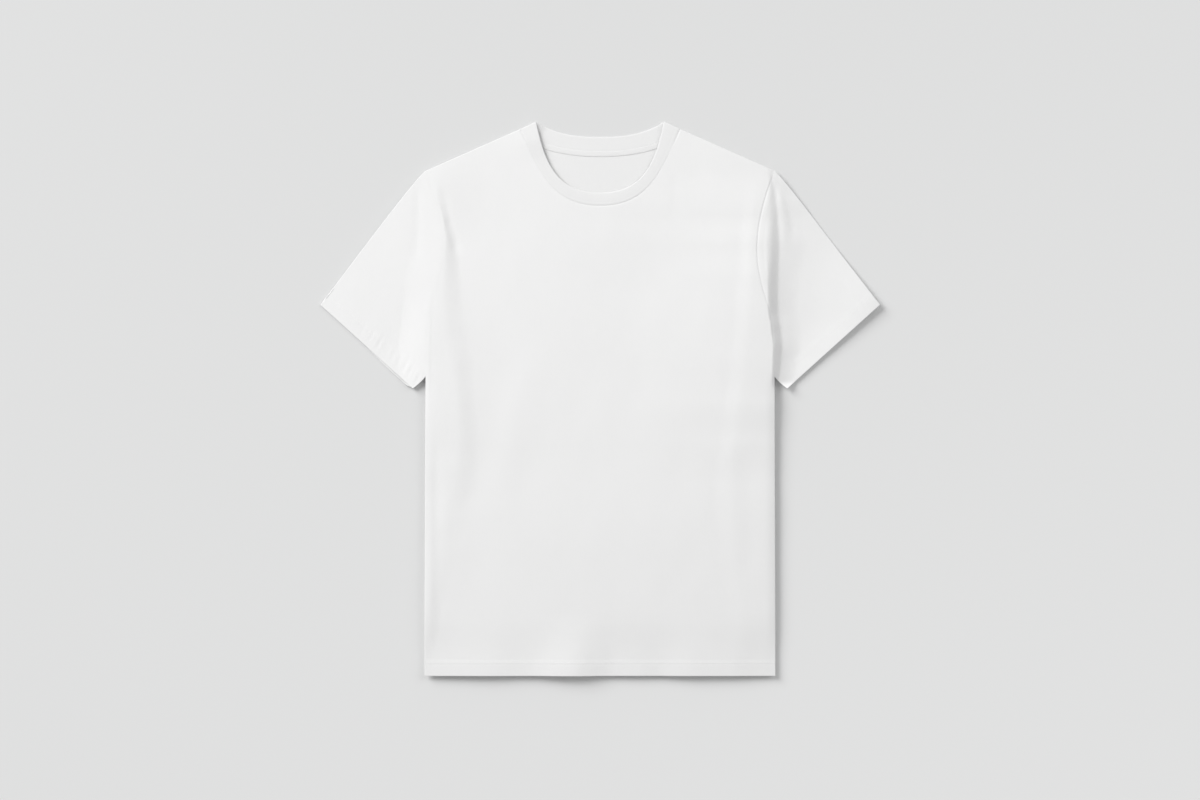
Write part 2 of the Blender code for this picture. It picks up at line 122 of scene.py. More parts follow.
@dataclass(frozen=True)
class Curve:
    """Cubic curve in plan with its two handles."""

    start: Point
    first: Point
    second: Point
    end: Point
    samples: int = 400

    @classmethod
    def straight(cls, start: Point, end: Point) -> "Curve":
        """Make a straight line between two points."""
        thirds = [tuple(a + (b - a) * part / 3 for a, b in zip(start, end)) for part in (1, 2)]
        return cls(start, *thirds, end)

    def handles(self) -> list[Array]:
        """Read the ends and the handles in order."""
        return [np.array(point) for point in (self.start, self.first, self.second, self.end)]

    def points(self, shares: Array) -> Array:
        """Read the curve.

        Args:
            shares: Parameters from 0 to 1.

        Returns:
            One plan point for each share.
        """
        share = np.asarray(shares, float)[..., None]
        rest = 1.0 - share
        a, b, c, d = self.handles()
        return rest**3 * a + 3 * rest**2 * share * b + 3 * rest * share**2 * c + share**3 * d

    def lefts(self, shares: Array) -> Array:
        """Read the directions to the left of the curve.

        Args:
            shares: Parameters from 0 to 1.

        Returns:
            A unit vector for each share.
        """
        share = np.asarray(shares, float)[..., None]
        rest = 1.0 - share
        a, b, c, d = self.handles()
        run = unit(rest**2 * (b - a) + 2 * rest * share * (c - b) + share**2 * (d - c))
        return np.stack([-run[..., 1], run[..., 0]], axis=-1)

    def length(self) -> float:
        """Measure the curve."""
        return float(walked(self.points(np.linspace(0, 1, self.samples + 1)))[-1])

    def shares_at(self, distances: Array) -> Array:
        """Find the shares at distances along the curve from its start."""
        shares = np.linspace(0, 1, self.samples + 1)
        return np.interp(distances, walked(self.points(shares)), shares)

    def traced(self, spacing: float = 0.5) -> Array:
        """Trace the curve with points that far apart."""
        count = max(3, round(self.length() / spacing) + 1)
        return self.points(self.shares_at(np.linspace(0, self.length(), count)))


class Trace:
    """A line in plan from which offsets are measured."""

    CHUNK = 3000  # points measured at once
    FAR = 10.0  # reaches that stand for far away

    def __init__(self, points: Array) -> None:
        """Keep the line.

        Args:
            points: The line's points in order.
        """
        self.points = np.asarray(points, float)
        self.along = walked(self.points)
        self.runs = unit(np.gradient(self.points, axis=0))
        self.length = float(self.along[-1])

    @classmethod
    def smooth(cls, knots: Iterable[Point], steps: int = 12) -> "Trace":
        """Draw a smooth line through a few knots.

        Args:
            knots: Plan points that the line passes through.
            steps: Points between two knots.

        Returns:
            The line.
        """
        knot = np.array([*knots], float)
        whole = np.vstack([2 * knot[0] - knot[1], knot, 2 * knot[-1] - knot[-2]])
        line = []
        for index in range(len(knot) - 1):
            p0, p1, p2, p3 = whole[index : index + 4]
            for part in np.linspace(0, 1, steps, endpoint=False):
                square, cube = part * part, part**3
                line.append(
                    0.5 * (2 * p1 + (p2 - p0) * part + (2 * p0 - 5 * p1 + 4 * p2 - p3) * square)
                    + 0.5 * (3 * p1 - p0 - 3 * p2 + p3) * cube
                )
        return cls(np.vstack([line, knot[-1]]))

    def at(self, distances: Array | float) -> Array:
        """Read the points at distances along the line."""
        return np.stack([np.interp(distances, self.along, axis) for axis in self.points.T], axis=-1)

    def measure(self, x: Array, y: Array, reach: float) -> tuple[Array, Array, Array]:
        """Measure points near the line.

        Args:
            x: Plan positions.
            y: Plan positions, of the same shape.
            reach: Distance beyond which a point is only called far.

        Returns:
            Offset to the left of the line, distance along it, and plain distance, shaped like x.
        """
        flat = np.stack([np.ravel(x), np.ravel(y)], axis=1)
        offset, far = (np.full(len(flat), self.FAR * reach) for _ in range(2))
        along = np.zeros(len(flat))
        low, high = self.points.min(0) - reach, self.points.max(0) + reach
        near = np.flatnonzero(((flat >= low) & (flat <= high)).all(axis=1))
        for start in range(0, len(near), self.CHUNK):
            rows = near[start : start + self.CHUNK]
            gaps = ((flat[rows, None, :] - self.points[None]) ** 2).sum(axis=2)
            best = gaps.argmin(axis=1)
            away = flat[rows] - self.points[best]
            run = self.runs[best]
            forward = (away * run).sum(axis=1)
            left = run[:, 0] * away[:, 1] - run[:, 1] * away[:, 0]
            ends = (best == 0) & (forward < 0) | (best == len(self.points) - 1) & (forward > 0)
            offset[rows] = left
            along[rows] = self.along[best] + forward
            far[rows] = np.where(ends, np.sqrt(gaps[np.arange(len(rows)), best]), np.abs(left))
        return offset.reshape(np.shape(x)), along.reshape(np.shape(x)), far.reshape(np.shape(x))


@dataclass(frozen=True)
class Profile:
    """Values at stations along a line, eased from one to the next."""

    stations: Stations
    values: Stations

    def __call__(self, position: Array) -> Array:
        """Read the profile.

        Args:
            position: Places along the line.

        Returns:
            The value at each place.
        """
        place = np.asarray(position, float)
        stations, values = np.array(self.stations), np.array(self.values)
        index = np.clip(np.searchsorted(stations, place) - 1, 0, len(stations) - 2)
        low, high = stations[index], stations[index + 1]
        share = np.clip((place - low) / (high - low), 0.0, 1.0)
        return mix(values[index], values[index + 1], ease(share))


@dataclass(frozen=True)
class Fold:
    """A soft ridge, or a trough where its height is negative.

    Its line runs up the shirt, so that its left is the left of the shirt as it lies. It is cut off
    at reach widths from its line, and it fades in and out from overrun fades beyond its ends.
    """

    line: tuple[Point, ...]
    height: float
    left: float
    right: float
    fade: float
    reach: float = 2.6
    overrun: float = 0.3

    def heights(self, x: Array, y: Array) -> Array:
        """Read what the fold adds.

        Args:
            x, y: Plan positions.

        Returns:
            Added height at each point.
        """
        trace = Trace.smooth(self.line)
        reach = self.reach * max(self.left, self.right)
        offset, along, far = trace.measure(x, y, reach)
        past = self.overrun * self.fade
        ends = ramp(along, -past, self.fade)
        ends = ends * ramp(along, trace.length + past, trace.length - self.fade)
        height = self.height * ends * bell(offset, np.where(offset > 0, self.left, self.right))
        return np.where(far < reach, height, 0.0)


@dataclass(frozen=True)
class ShirtPlan:
    """Outline and seams of the shirt's right half in plan; the left half mirrors it."""

    hem_corner: Point = (228.0, -361.0)
    underarm: Point = (226.6, 30.0)
    armhole_notch: Point = (218.8, 120.0)
    armhole_deepest: Point = (203.8, 195.0)
    shoulder: Point = (227.0, 297.0)
    neck_point: Point = (104.0, 351.5)
    collar_tip: Point = (83.0, 361.4)
    cuff_top: Point = (364.0, 123.0)
    cuff_foot: Point = (243.0, 14.5)
    armhole_handles: tuple[tuple[Point, Point], ...] = (
        ((226.5, 75.0), (222.5, 107.0)),
        ((212.0, 140.0), (203.8, 165.0)),
        ((203.8, 230.0), (214.0, 265.0)),
    )
    sleeve_top_handles: tuple[Point, Point] = ((243.0, 284.0), (300.0, 206.0))
    underarm_handles: tuple[Point, Point] = ((228.6, 27.0), (234.5, 20.6))
    front_neck: tuple[Point, Point, Point] = ((78.0, 293.0), (62.0, 252.0), (0.0, 252.0))
    back_neck: tuple[Point, Point, Point] = ((78.0, 330.0), (40.0, 323.4), (0.0, 323.4))
    front_edge: tuple[Point, Point, Point] = ((72.0, 303.0), (53.0, 268.6), (0.0, 268.6))
    back_edge: tuple[Point, Point, Point] = ((60.0, 346.0), (35.0, 341.4), (0.0, 341.4))
    hem_depth: float = 22.0
    cuff_depth: float = 20.0
    nose: float = 0.45
    tuck_reach: float = 20.0
    stitch_rows: Pair = (1.6, 4.8)
    stitch_width: float = 0.7

    def side(self) -> Curve:
        """Draw the folded side from hem to underarm."""
        return Curve.straight(self.hem_corner, self.underarm)

    def armhole(self) -> list[Curve]:
        """Draw the armhole seam from underarm to shoulder.

        Returns:
            Its curves in that order.
        """
        knots = (self.underarm, self.armhole_notch, self.armhole_deepest, self.shoulder)
        legs = zip(knots, self.armhole_handles, knots[1:])
        return [Curve(low, *handles, high) for low, handles, high in legs]

    def shoulder_line(self) -> Curve:
        """Draw the folded shoulder."""
        return Curve.straight(self.shoulder, self.neck_point)

    def collar_line(self) -> Curve:
        """Draw the fold of the neckband over the shoulder."""
        return Curve.straight(self.neck_point, self.collar_tip)

    def sleeve_top(self) -> Curve:
        """Draw the upper fold of a sleeve."""
        return Curve(self.shoulder, *self.sleeve_top_handles, self.cuff_top)

    def sleeve_underarm(self) -> Curve:
        """Draw the lower fold of a sleeve."""
        return Curve(self.underarm, *self.underarm_handles, self.cuff_foot)

    def neck(self, face: Face) -> Curve:
        """Draw the seam between a panel and the neckband, from shoulder to middle."""
        return Curve(self.neck_point, *(self.front_neck if face is Face.FRONT else self.back_neck))

    def band_edge(self, face: Face) -> Curve:
        """Draw the free edge of the neckband, from shoulder to middle."""
        return Curve(self.collar_tip, *(self.front_edge if face is Face.FRONT else self.back_edge))

    def half_width(self, y: Array) -> Array:
        """Read half the width of the body at heights on its side."""
        (hem_out, low), (arm_out, high) = self.hem_corner, self.underarm
        return mix(hem_out, arm_out, np.clip((y - low) / (high - low), 0.0, 1.0))

    def cuff_run(self) -> Array:
        """Read the direction of the cuff's line from its top corner to its foot."""
        return unit(np.subtract(self.cuff_foot, self.cuff_top))

    def cuff_inward(self) -> Array:
        """Read the direction from the cuff's line into the sleeve."""
        run = self.cuff_run()
        return np.array([run[1], -run[0]])

    def cuff_distance(self, x: Array, y: Array) -> Array:
        """Read how far points of a sleeve lie inside the line of its cuff."""
        inward = self.cuff_inward()
        return (np.abs(x) - self.cuff_top[0]) * inward[0] + (y - self.cuff_top[1]) * inward[1]

    def cuff_place(self, x: Array, y: Array) -> Array:
        """Read how far points lie along the cuff from its top corner."""
        run = self.cuff_run()
        return (np.abs(x) - self.cuff_top[0]) * run[0] + (y - self.cuff_top[1]) * run[1]

    def stitched(self, inside: Array, depth: float) -> Array:
        """Read 1 on the two stitch rows of an edge turned up that deep, and 0 away from them."""
        return sum(bell(inside - (depth - row), self.stitch_width) for row in self.stitch_rows)


class Seams:
    """The traced lines of the plan that the cloth's shape is measured from."""

    MARGIN = 2.0

    def __init__(self, plan: ShirtPlan) -> None:
        """Trace the folded outline and the seams.

        Args:
            plan: The shirt's plan.
        """
        self.plan = plan
        self.folds = [
            Trace(curve.traced())
            for curve in (
                plan.side(),
                plan.sleeve_underarm(),
                plan.sleeve_top(),
                plan.shoulder_line(),
                plan.collar_line(),
            )
        ]
        self.armhole, self.fine_armhole = (
            Trace(np.vstack([curve.traced(spacing) for curve in plan.armhole()]))
            for spacing in (0.5, 0.25)
        )
        self.front_neck = Trace(plan.neck(Face.FRONT).traced())

    def edge_distance(self, x: Array, y: Array) -> Array:
        """Measure how far points lie from the folded outline."""
        reach = self.plan.tuck_reach + self.MARGIN
        return np.min([fold.measure(np.abs(x), y, reach)[2] for fold in self.folds], axis=0)


@dataclass(frozen=True)
class TurnedEdge:
    """What a turned and stitched edge adds to the cloth: a step, puckers and two pressed rows.

    Each of the puckers' waves has a length, a sway of its phase, and the sway's own length and
    start. Distances inside are from the line where the turned cloth ends, below 0 on the doubled
    side.
    """

    step: float
    step_reach: Pair
    waves: tuple[tuple[float, float, float, float], ...]
    pucker_inset: float
    pucker_width: float
    press: float

    def puckers(self, along: Array) -> Array:
        """Read the mean of the waves at places along the edge."""
        waves = (np.sin(along / a + b * np.sin(along / c + d)) for a, b, c, d in self.waves)
        return sum(waves) / len(self.waves)

    def heights(self, inside: Array, puckers: Array, rows: Array) -> Array:
        """Read what the edge adds, where rows is 1 on the stitch rows and 0 away from them."""
        near = bell(inside + self.pucker_inset, self.pucker_width)
        return self.step * ramp(inside, *self.step_reach) + puckers * near - self.press * rows


@dataclass(frozen=True)
class LaidShape:
    """Height of the top layer of cloth over the floor, from the folded sides to the finest ripples.

    A pair holds the start and the end of a ramp, or the values of the shirt's left and right side.
    """

    seams: Seams

    # The lie of the body and its soft sides.
    body_height: Profile = Profile(
        (-361.0, -290.0, -200.0, -60.0, 60.0, 290.0, 345.0), (5.4, 7.4, 7.2, 5.2, 4.3, 2.9, 2.7)
    )
    left_lift: Profile = Profile(
        (-330.0, -240.0, -182.0, -130.0, -80.0, 0.0, 300.0), (1.9, 1.8, 1.3, 1.5, 2.55, 3.2, 2.7)
    )
    right_lift: Profile = Profile(
        (-330.0, -200.0, -80.0, 60.0, 200.0, 300.0), (0.7, 0.8, 1.0, 1.1, 1.0, 0.9)
    )
    right_swell: Profile = Profile(
        (-330.0, -200.0, -110.0, -50.0, 0.0, 60.0, 110.0, 155.0, 200.0, 240.0, 300.0),
        (0.6, 1.0, 2.2, 4.0, 6.2, 7.6, 7.9, 7.5, 6.1, 4.2, 2.0),
    )
    left_fall: Profile = Profile(
        (
            -327.0, -283.0, -232.0, -188.0, -147.0, -108.0, -58.0, -8.0,
            41.0, 90.0, 130.0, 175.0, 207.0, 233.0, 253.0, 272.0,
        ),
        (
            6.5, 12.5, 18.5, 26.5, 41.0, 54.0, 56.0, 53.0,
            48.0, 40.0, 36.0, 34.0, 33.0, 27.5, 23.5, 18.5,
        ),
    )
    left_width: Profile = Profile(
        (-327.0, -283.0, -188.0, -108.0, -8.0, 60.0, 130.0, 175.0, 207.0, 240.0, 290.0),
        (7.0, 11.0, 20.0, 16.0, 13.0, 16.0, 15.0, 11.0, 7.8, 4.8, 4.6),
    )
    right_fall: Profile = Profile(
        (-330.0, -200.0, -130.0, -83.0, -33.0, 41.0, 111.0, 190.0, 255.0, 290.0),
        (50.0, 60.0, 66.0, 65.0, 57.0, 49.6, 42.0, 37.0, 34.6, 30.0),
    )
    right_width: Profile = Profile(
        (-330.0, 0.0, 130.0, 227.0, 290.0), (15.0, 13.0, 12.0, 10.0, 9.0)
    )
    left_tail: float = 0.34
    left_tail_spread: float = 2.3
    left_tail_top: Pair = (190.0, 90.0)
    right_swell_reach: Pair = (5.0, 212.0)
    middle_blunt: float = 22.0
    middle_reach: float = 70.0
    side_drops: Pair = (0.5, 1.5)
    side_reach: float = 12.0
    side_top: Pair = (40.0, 10.0)
    hem_waves: Profile = Profile(
        (-228.0, -143.0, -92.0, -35.0, 16.0, 47.0, 75.0, 120.0, 172.0, 206.0, 228.0),
        (6.2, 8.0, 6.6, 10.8, 5.8, 6.3, 5.8, 8.0, 7.4, 6.0, 5.8),
    )
    hem_wave_reach: float = 88.0

    # The shoulders and the collar.
    shoulder_reach: Pair = (4.0, 120.0)
    collar_centre: Point = (0.0, 320.0)
    collar_radii: Pair = (40.0, 190.0)
    collar_share: float = 0.5
    collar_side: Pair = (110.0, 215.0)

    # The sleeves, and how the body falls to the left one.
    sleeve_heights: Pair = (4.9, 2.5)
    cuff_heights: Pair = (1.8, 7.0)
    cuff_foot_rises: Pair = (1.2, 3.4)
    cuff_rise: Pair = (0.0, 118.0)
    cuff_foot_reach: Pair = (90.0, 160.0)
    left_join: Pair = (-60.0, 24.0)
    left_crest: Profile = Profile(
        (60.0, 110.0, 150.0, 200.0, 290.0), (222.5, 220.0, 212.0, 203.0, 205.0)
    )
    left_foot: Profile = Profile((60.0, 150.0, 220.0, 290.0), (262.0, 254.0, 240.0, 244.0))
    left_ease: float = 0.35

    # The deep crease down the right armhole.
    crease_crest: Profile = Profile(
        (25.0, 36.0, 51.0, 71.0, 94.0, 113.0, 155.0, 200.0, 240.0, 262.0, 285.0),
        (222.8, 223.2, 223.4, 224.4, 221.4, 218.0, 217.3, 215.3, 216.3, 217.3, 219.2),
    )
    crease_slope: Profile = Profile(
        (25.0, 36.0, 51.0, 71.0, 94.0, 113.0, 155.0, 200.0, 240.0, 262.0, 285.0),
        (9.3, 10.6, 12.4, 12.6, 13.2, 13.4, 14.2, 18.0, 15.0, 12.2, 4.6),
    )
    crease_skew: Profile = Profile((60.0, 110.0, 160.0, 200.0, 240.0), (1.0, 1.0, 1.05, 1.25, 1.45))
    crease_depth: Profile = Profile(
        (20.0, 60.0, 180.0, 235.0, 262.0, 290.0), (0.9, 1.0, 1.0, 0.64, 0.48, 0.0)
    )
    crease_floor: Profile = Profile((20.0, 60.0, 105.0), (2.8, 1.6, 1.0))
    crease_steep: float = 0.7
    crease_spread: float = 3.1
    crease_even: float = 0.5
    crease_top: float = 1.3
    crease_top_reach: Pair = (215.0, 285.0)
    crease_sleeve_start: Profile = Profile((40.0, 110.0), (248.0, 262.0))
    crease_sleeve_end: Profile = Profile((40.0, 110.0), (330.0, 360.0))
    crease_foot: Pair = (8.0, 24.0)

    # Turned edges and seams.
    hem_edge: TurnedEdge = TurnedEdge(
        step=0.25,
        step_reach=(1.2, -2.2),
        waves=((2.1, 1.4, 17.0, 0.0), (4.7, 2.0, 29.0, 1.0)),
        pucker_inset=4.0,
        pucker_width=7.0,
        press=0.1,
    )
    hem_puckers: Pair = (0.05, 0.16)
    hem_puckers_middle: Pair = (20.0, 55.0)
    cuff_edge: TurnedEdge = TurnedEdge(
        step=0.2,
        step_reach=(3.0, -5.0),
        waves=((1.3, 2.2, 13.0, 0.0), (2.1, 2.6, 19.0, 0.0)),
        pucker_inset=6.0,
        pucker_width=9.0,
        press=0.08,
    )
    cuff_lean: float = 0.25
    cuff_pucker: float = 0.06
    left_cuff_puckers: Pair = (0.6, 1.9)
    left_cuff_reach: Pair = (40.0, 80.0)
    right_cuff_puckers: float = 0.9
    armhole_reach: float = 26.0
    armhole_foot: Pair = (18.0, 60.0)
    armhole_top: float = 26.0
    armhole_width: float = 1.3
    armhole_depths: Pair = (0.02, 0.19)
    allowance_heights: Pair = (0.03, 0.1)
    allowance_edges: tuple[Pair, Pair] = ((9.5, 6.0), (0.3, 3.5))
    armhole_fall: float = 0.55
    fall_share: float = 0.35
    fall_slopes: tuple[Pair, Pair] = ((12.0, 1.0), (1.5, -0.8))
    fall_end: Pair = (22.0, 8.0)
    neck_reach: float = 14.0
    neck_depth: float = 0.14
    neck_width: float = 1.15
    neck_pull: Profile = Profile(
        (0.0, 3.0, 12.0, 20.0, 70.0, 120.0), (0.7, 1.9, 1.5, 0.1, 0.25, 1.0)
    )

    # Low folds and ripples.
    folds: tuple[Fold, ...] = (
        Fold(((193.0, -235.0), (193.0, -60.0)), -0.35, 12.0, 12.0, 30.0),
        Fold(
            ((-132.0, -175.0), (-126.0, -108.0), (-107.0, -8.0), (-82.0, 75.0)),
            0.6, 19.0, 30.0, 45.0,
        ),
        Fold(((84.0, -130.0), (60.0, 20.0)), 0.25, 22.0, 22.0, 40.0),
        Fold(((97.0, 228.0), (97.0, 297.0)), -0.25, 7.0, 7.0, 20.0),
        Fold(((241.0, 195.0), (238.0, 240.0), (233.0, 285.0)), 0.4, 5.0, 8.0, 20.0),
        Fold(
            ((251.0, 208.0), (247.0, 240.0), (241.5, 260.0), (236.0, 284.0)),
            -0.5, 5.0, 8.0, 16.0,
        ),
        Fold(((-238.0, 180.0), (-236.0, 282.0)), -0.3, 6.0, 6.0, 20.0),
        Fold(((-218.5, 0.0), (-219.0, 80.0), (-216.0, 150.0)), -0.1, 2.4, 3.2, 24.0),
        Fold(((-212.0, -300.0), (-212.5, -180.0), (-213.5, -50.0)), -0.5, 5.5, 9.0, 50.0),
        Fold(
            ((-188.0, 188.0), (-196.0, 222.0), (-203.0, 248.0), (-209.0, 272.0)),
            -0.5, 3.5, 9.0, 14.0,
        ),
        Fold(((-72.0, 318.0), (-77.0, 338.0), (-83.0, 362.0)), 1.0, 34.0, 9.0, 26.0),
    )
    ripple_seed: int = 11
    ripple_count: int = 26
    ripple_height: float = 0.014
    ripple_lengths: Pair = (26.0, 95.0)
    ripple_turn: float = 0.35
    ripple_full_length: float = 60.0

    def body(self, x: Array, y: Array) -> Array:
        """Read the height of the body's front before the crease beside the armhole is cut into it.

        Args:
            x, y: Plan positions.

        Returns:
            Height at each point.
        """
        plan = self.seams.plan
        out = np.abs(x)
        inward = plan.half_width(y) - out
        blunt = np.hypot(x, self.middle_blunt)
        from_shoulder = (plan.shoulder[0] - blunt) / (plan.shoulder[0] - plan.neck_point[0])
        below = mix(plan.shoulder[1], plan.neck_point[1], from_shoulder) - y
        left = x < 0
        fall = np.where(left, self.left_fall(y), self.right_fall(y))
        width = np.where(left, self.left_width(y), self.right_width(y))
        away = (inward - fall) / width
        lift = np.where(left, self.left_lift(y), self.right_lift(y))
        tail = np.where(left, self.left_tail, 0.0) * ramp(y, *self.left_tail_top)
        tail_end = 2.0 * self.left_tail_spread - 1.0
        side = lift * (1.0 - mix(ramp(away, -1.0, 1.0), ramp(away, -1.0, tail_end), tail))
        swell = self.right_swell(y)
        side = side + np.where(left, 0.0, swell) * (1.0 - ramp(inward, *self.right_swell_reach))
        across = ramp(x, -self.middle_reach, self.middle_reach)
        whole = mix(self.left_lift(y), self.right_lift(y) + swell, across)
        centre_x, centre_y = self.collar_centre
        collar = ramp(np.hypot(x - centre_x, y - centre_y), *self.collar_radii)
        top = 1.0 - collar * ramp(below, *self.shoulder_reach)
        top = top * mix(self.collar_share, 1.0, ramp(out, *self.collar_side))
        height = self.body_height(y) + whole * (1.0 - (1.0 - side / whole) * (1.0 - top))
        near = np.clip(1.0 - inward / self.side_reach, 0.0, 1.0) ** 2
        height = height - np.where(left, *self.side_drops) * near * ramp(y, *self.side_top)
        hem = plan.hem_corner[1]
        return mix(height, self.hem_waves(x), ramp(y, hem + self.hem_wave_reach, hem))

    def ripples(self, x: Array, y: Array) -> Array:
        """Read the slight unevenness of laid cloth.

        Args:
            x, y: Plan positions.

        Returns:
            Height to add at each point.
        """
        draw = np.random.default_rng(self.ripple_seed)
        total = np.zeros(np.shape(x))
        for _ in range(self.ripple_count):
            length = draw.uniform(*self.ripple_lengths)
            turn = draw.normal(0.0, self.ripple_turn)
            phase = draw.uniform(0.0, 2 * math.pi)
            across = x * math.cos(turn) + y * math.sin(turn)
            wave = np.sin(2 * math.pi * across / length + phase)
            total += wave * length / self.ripple_full_length
        return self.ripple_height * total

    def hem_band(self, x: Array, y: Array) -> Array:
        """Read what the turned hem adds to the front.

        Args:
            x, y: Plan positions.

        Returns:
            Added height at each point.
        """
        plan = self.seams.plan
        above = y - plan.hem_corner[1]
        middle, width = self.hem_puckers_middle
        strong = self.hem_puckers[0] + self.hem_puckers[1] * bell(x - middle, width)
        puckers = strong * self.hem_edge.puckers(x)
        rows = plan.stitched(above, plan.hem_depth)
        return self.hem_edge.heights(above - plan.hem_depth, puckers, rows)

    def cuff_band(self, x: Array, y: Array) -> Array:
        """Read what a turned cuff adds to its sleeve.

        Args:
            x, y: Plan positions.

        Returns:
            Added height at each point.
        """
        plan = self.seams.plan
        inside, place = plan.cuff_distance(x, y), plan.cuff_place(x, y)
        least, more = self.left_cuff_puckers
        strong = more * ramp(place, *self.left_cuff_reach) + least
        strong = np.where(x < 0, strong, self.right_cuff_puckers)
        waves = self.cuff_edge.puckers(place + self.cuff_lean * inside)
        puckers = self.cuff_pucker * strong * waves
        rows = plan.stitched(inside, plan.cuff_depth)
        return self.cuff_edge.heights(inside - plan.cuff_depth, puckers, rows)

    def armhole_seam(self, x: Array, y: Array) -> Array:
        """Read the ditch of the armhole seam and the allowance that lies under the cloth beside it.

        Args:
            x, y: Plan positions.

        Returns:
            Added height at each point.
        """
        offset, along, _ = self.seams.armhole.measure(np.abs(x), y, self.armhole_reach)
        length = self.seams.armhole.length
        ends = ramp(along, *self.armhole_foot) * ramp(along, length, length - self.armhole_top)
        ditch = bell(offset, self.armhole_width)
        outer, inner = self.allowance_edges
        allowance = ramp(-offset, *outer) * ramp(-offset, *inner)
        left, right = (
            height * allowance - depth * ditch
            for height, depth in zip(self.allowance_heights, self.armhole_depths)
        )
        wide, narrow = (ramp(offset, *slope) for slope in self.fall_slopes)
        fall = mix(narrow, wide, self.fall_share) * ramp(-offset, *self.fall_end)
        return ends * np.where(x < 0, left, right - self.armhole_fall * fall)

    def neck_seam(self, x: Array, y: Array) -> Array:
        """Read the ditch along the seam of the neckband on the front.

        Args:
            x, y: Plan positions.

        Returns:
            Added height at each point.
        """
        offset, along, far = self.seams.front_neck.measure(np.abs(x), y, self.neck_reach)
        ditch = self.neck_depth * bell(offset, self.neck_width) * self.neck_pull(along)
        return np.where(far < self.neck_reach, -ditch, 0.0)

    def heights(self, x: Array, y: Array) -> Array:
        """Read the height of the whole top layer, body and sleeves, before its folded edges roll.

        Args:
            x, y: Plan positions.

        Returns:
            Height of the cloth's upper face at each point.
        """
        plan = self.seams.plan
        level, cuff = (np.where(x < 0, *pair) for pair in (self.sleeve_heights, self.cuff_heights))
        foot = ramp(plan.cuff_place(x, y), *self.cuff_foot_reach)
        cuff = cuff + np.where(x < 0, *self.cuff_foot_rises) * foot
        sleeve = mix(cuff, level, ramp(plan.cuff_distance(x, y), *self.cuff_rise))
        body = self.body(x, y)
        level = mix(sleeve, body - self.crease_top, ramp(y, *self.crease_top_reach))
        floor = mix(level, self.crease_floor(y), self.crease_depth(y))
        beyond = mix(floor, level, ramp(x, self.crease_sleeve_start(y), self.crease_sleeve_end(y)))
        away = (x - self.crease_crest(y)) / self.crease_slope(y)
        steep, gentle = (
            np.clip(away / part, 0.0, 1.0) ** self.crease_skew(y)
            for part in (1.0, self.crease_spread)
        )
        cut = mix(ease(steep), steep, self.crease_even)
        right = mix(body, beyond, mix(ease(gentle), cut, self.crease_steep))
        crest, foot = self.left_crest(y), self.left_foot(y)
        even = np.clip((-x - crest) / (foot - crest), 0.0, 1.0)
        left = mix(body, sleeve, mix(even, ramp(-x, crest, foot), self.left_ease))
        joined = np.where(x > 0, ramp(y, *self.crease_foot), ramp(y, *self.left_join))
        height = mix(body, np.where(x > 0, right, left), joined)
        for fold in self.folds:
            height = height + fold.heights(x, y)
        return height + self.ripples(x, y)

    def body_top(self, x: Array, y: Array) -> Array:
        """Read the front panel's upper face."""
        top = self.heights(x, y) + self.hem_band(x, y) + self.armhole_seam(x, y)
        return self.rolled(x, y, top + self.neck_seam(x, y))

    def sleeve_top(self, x: Array, y: Array) -> Array:
        """Read a sleeve's upper face."""
        top = self.heights(x, y) + self.cuff_band(x, y) + self.armhole_seam(x, y)
        return self.rolled(x, y, top)

    def band_top(self, x: Array, y: Array, rise: Array) -> Array:
        """Read the neckband's upper face on the front, where it stands that much proud."""
        return self.rolled(x, y, self.heights(x, y) + rise + self.neck_seam(x, y))

    def rolled(self, x: Array, y: Array, top: Array) -> Array:
        """Roll a face down round the nose of the fold where it comes to the outline."""
        plan = self.seams.plan
        return mix(top, self.heights(x, y) - plan.nose, self.turn(self.seams.edge_distance(x, y)))

    def turn(self, away: Array) -> Array:
        """Read how far the cloth has turned round its fold, by distance from the outline."""
        share = np.clip(1.0 - away / self.seams.plan.nose, 0.0, 1.0)
        return 1.0 - np.sqrt(1.0 - share**2)

    def tucked(self, x: Array, y: Array) -> Array:
        """Read the under face, which lies on the floor and turns up to the folded outline.

        Args:
            x, y: Plan positions.

        Returns:
            Height of the under face at each point.
        """
        plan = self.seams.plan
        top, away = self.heights(x, y), self.seams.edge_distance(x, y)
        lift = np.clip(1.0 - away / plan.tuck_reach, 0.0, 1.0) ** 2
        return mix((top - 2 * plan.nose) * lift, top - plan.nose, self.turn(away))


# Cloth grids.


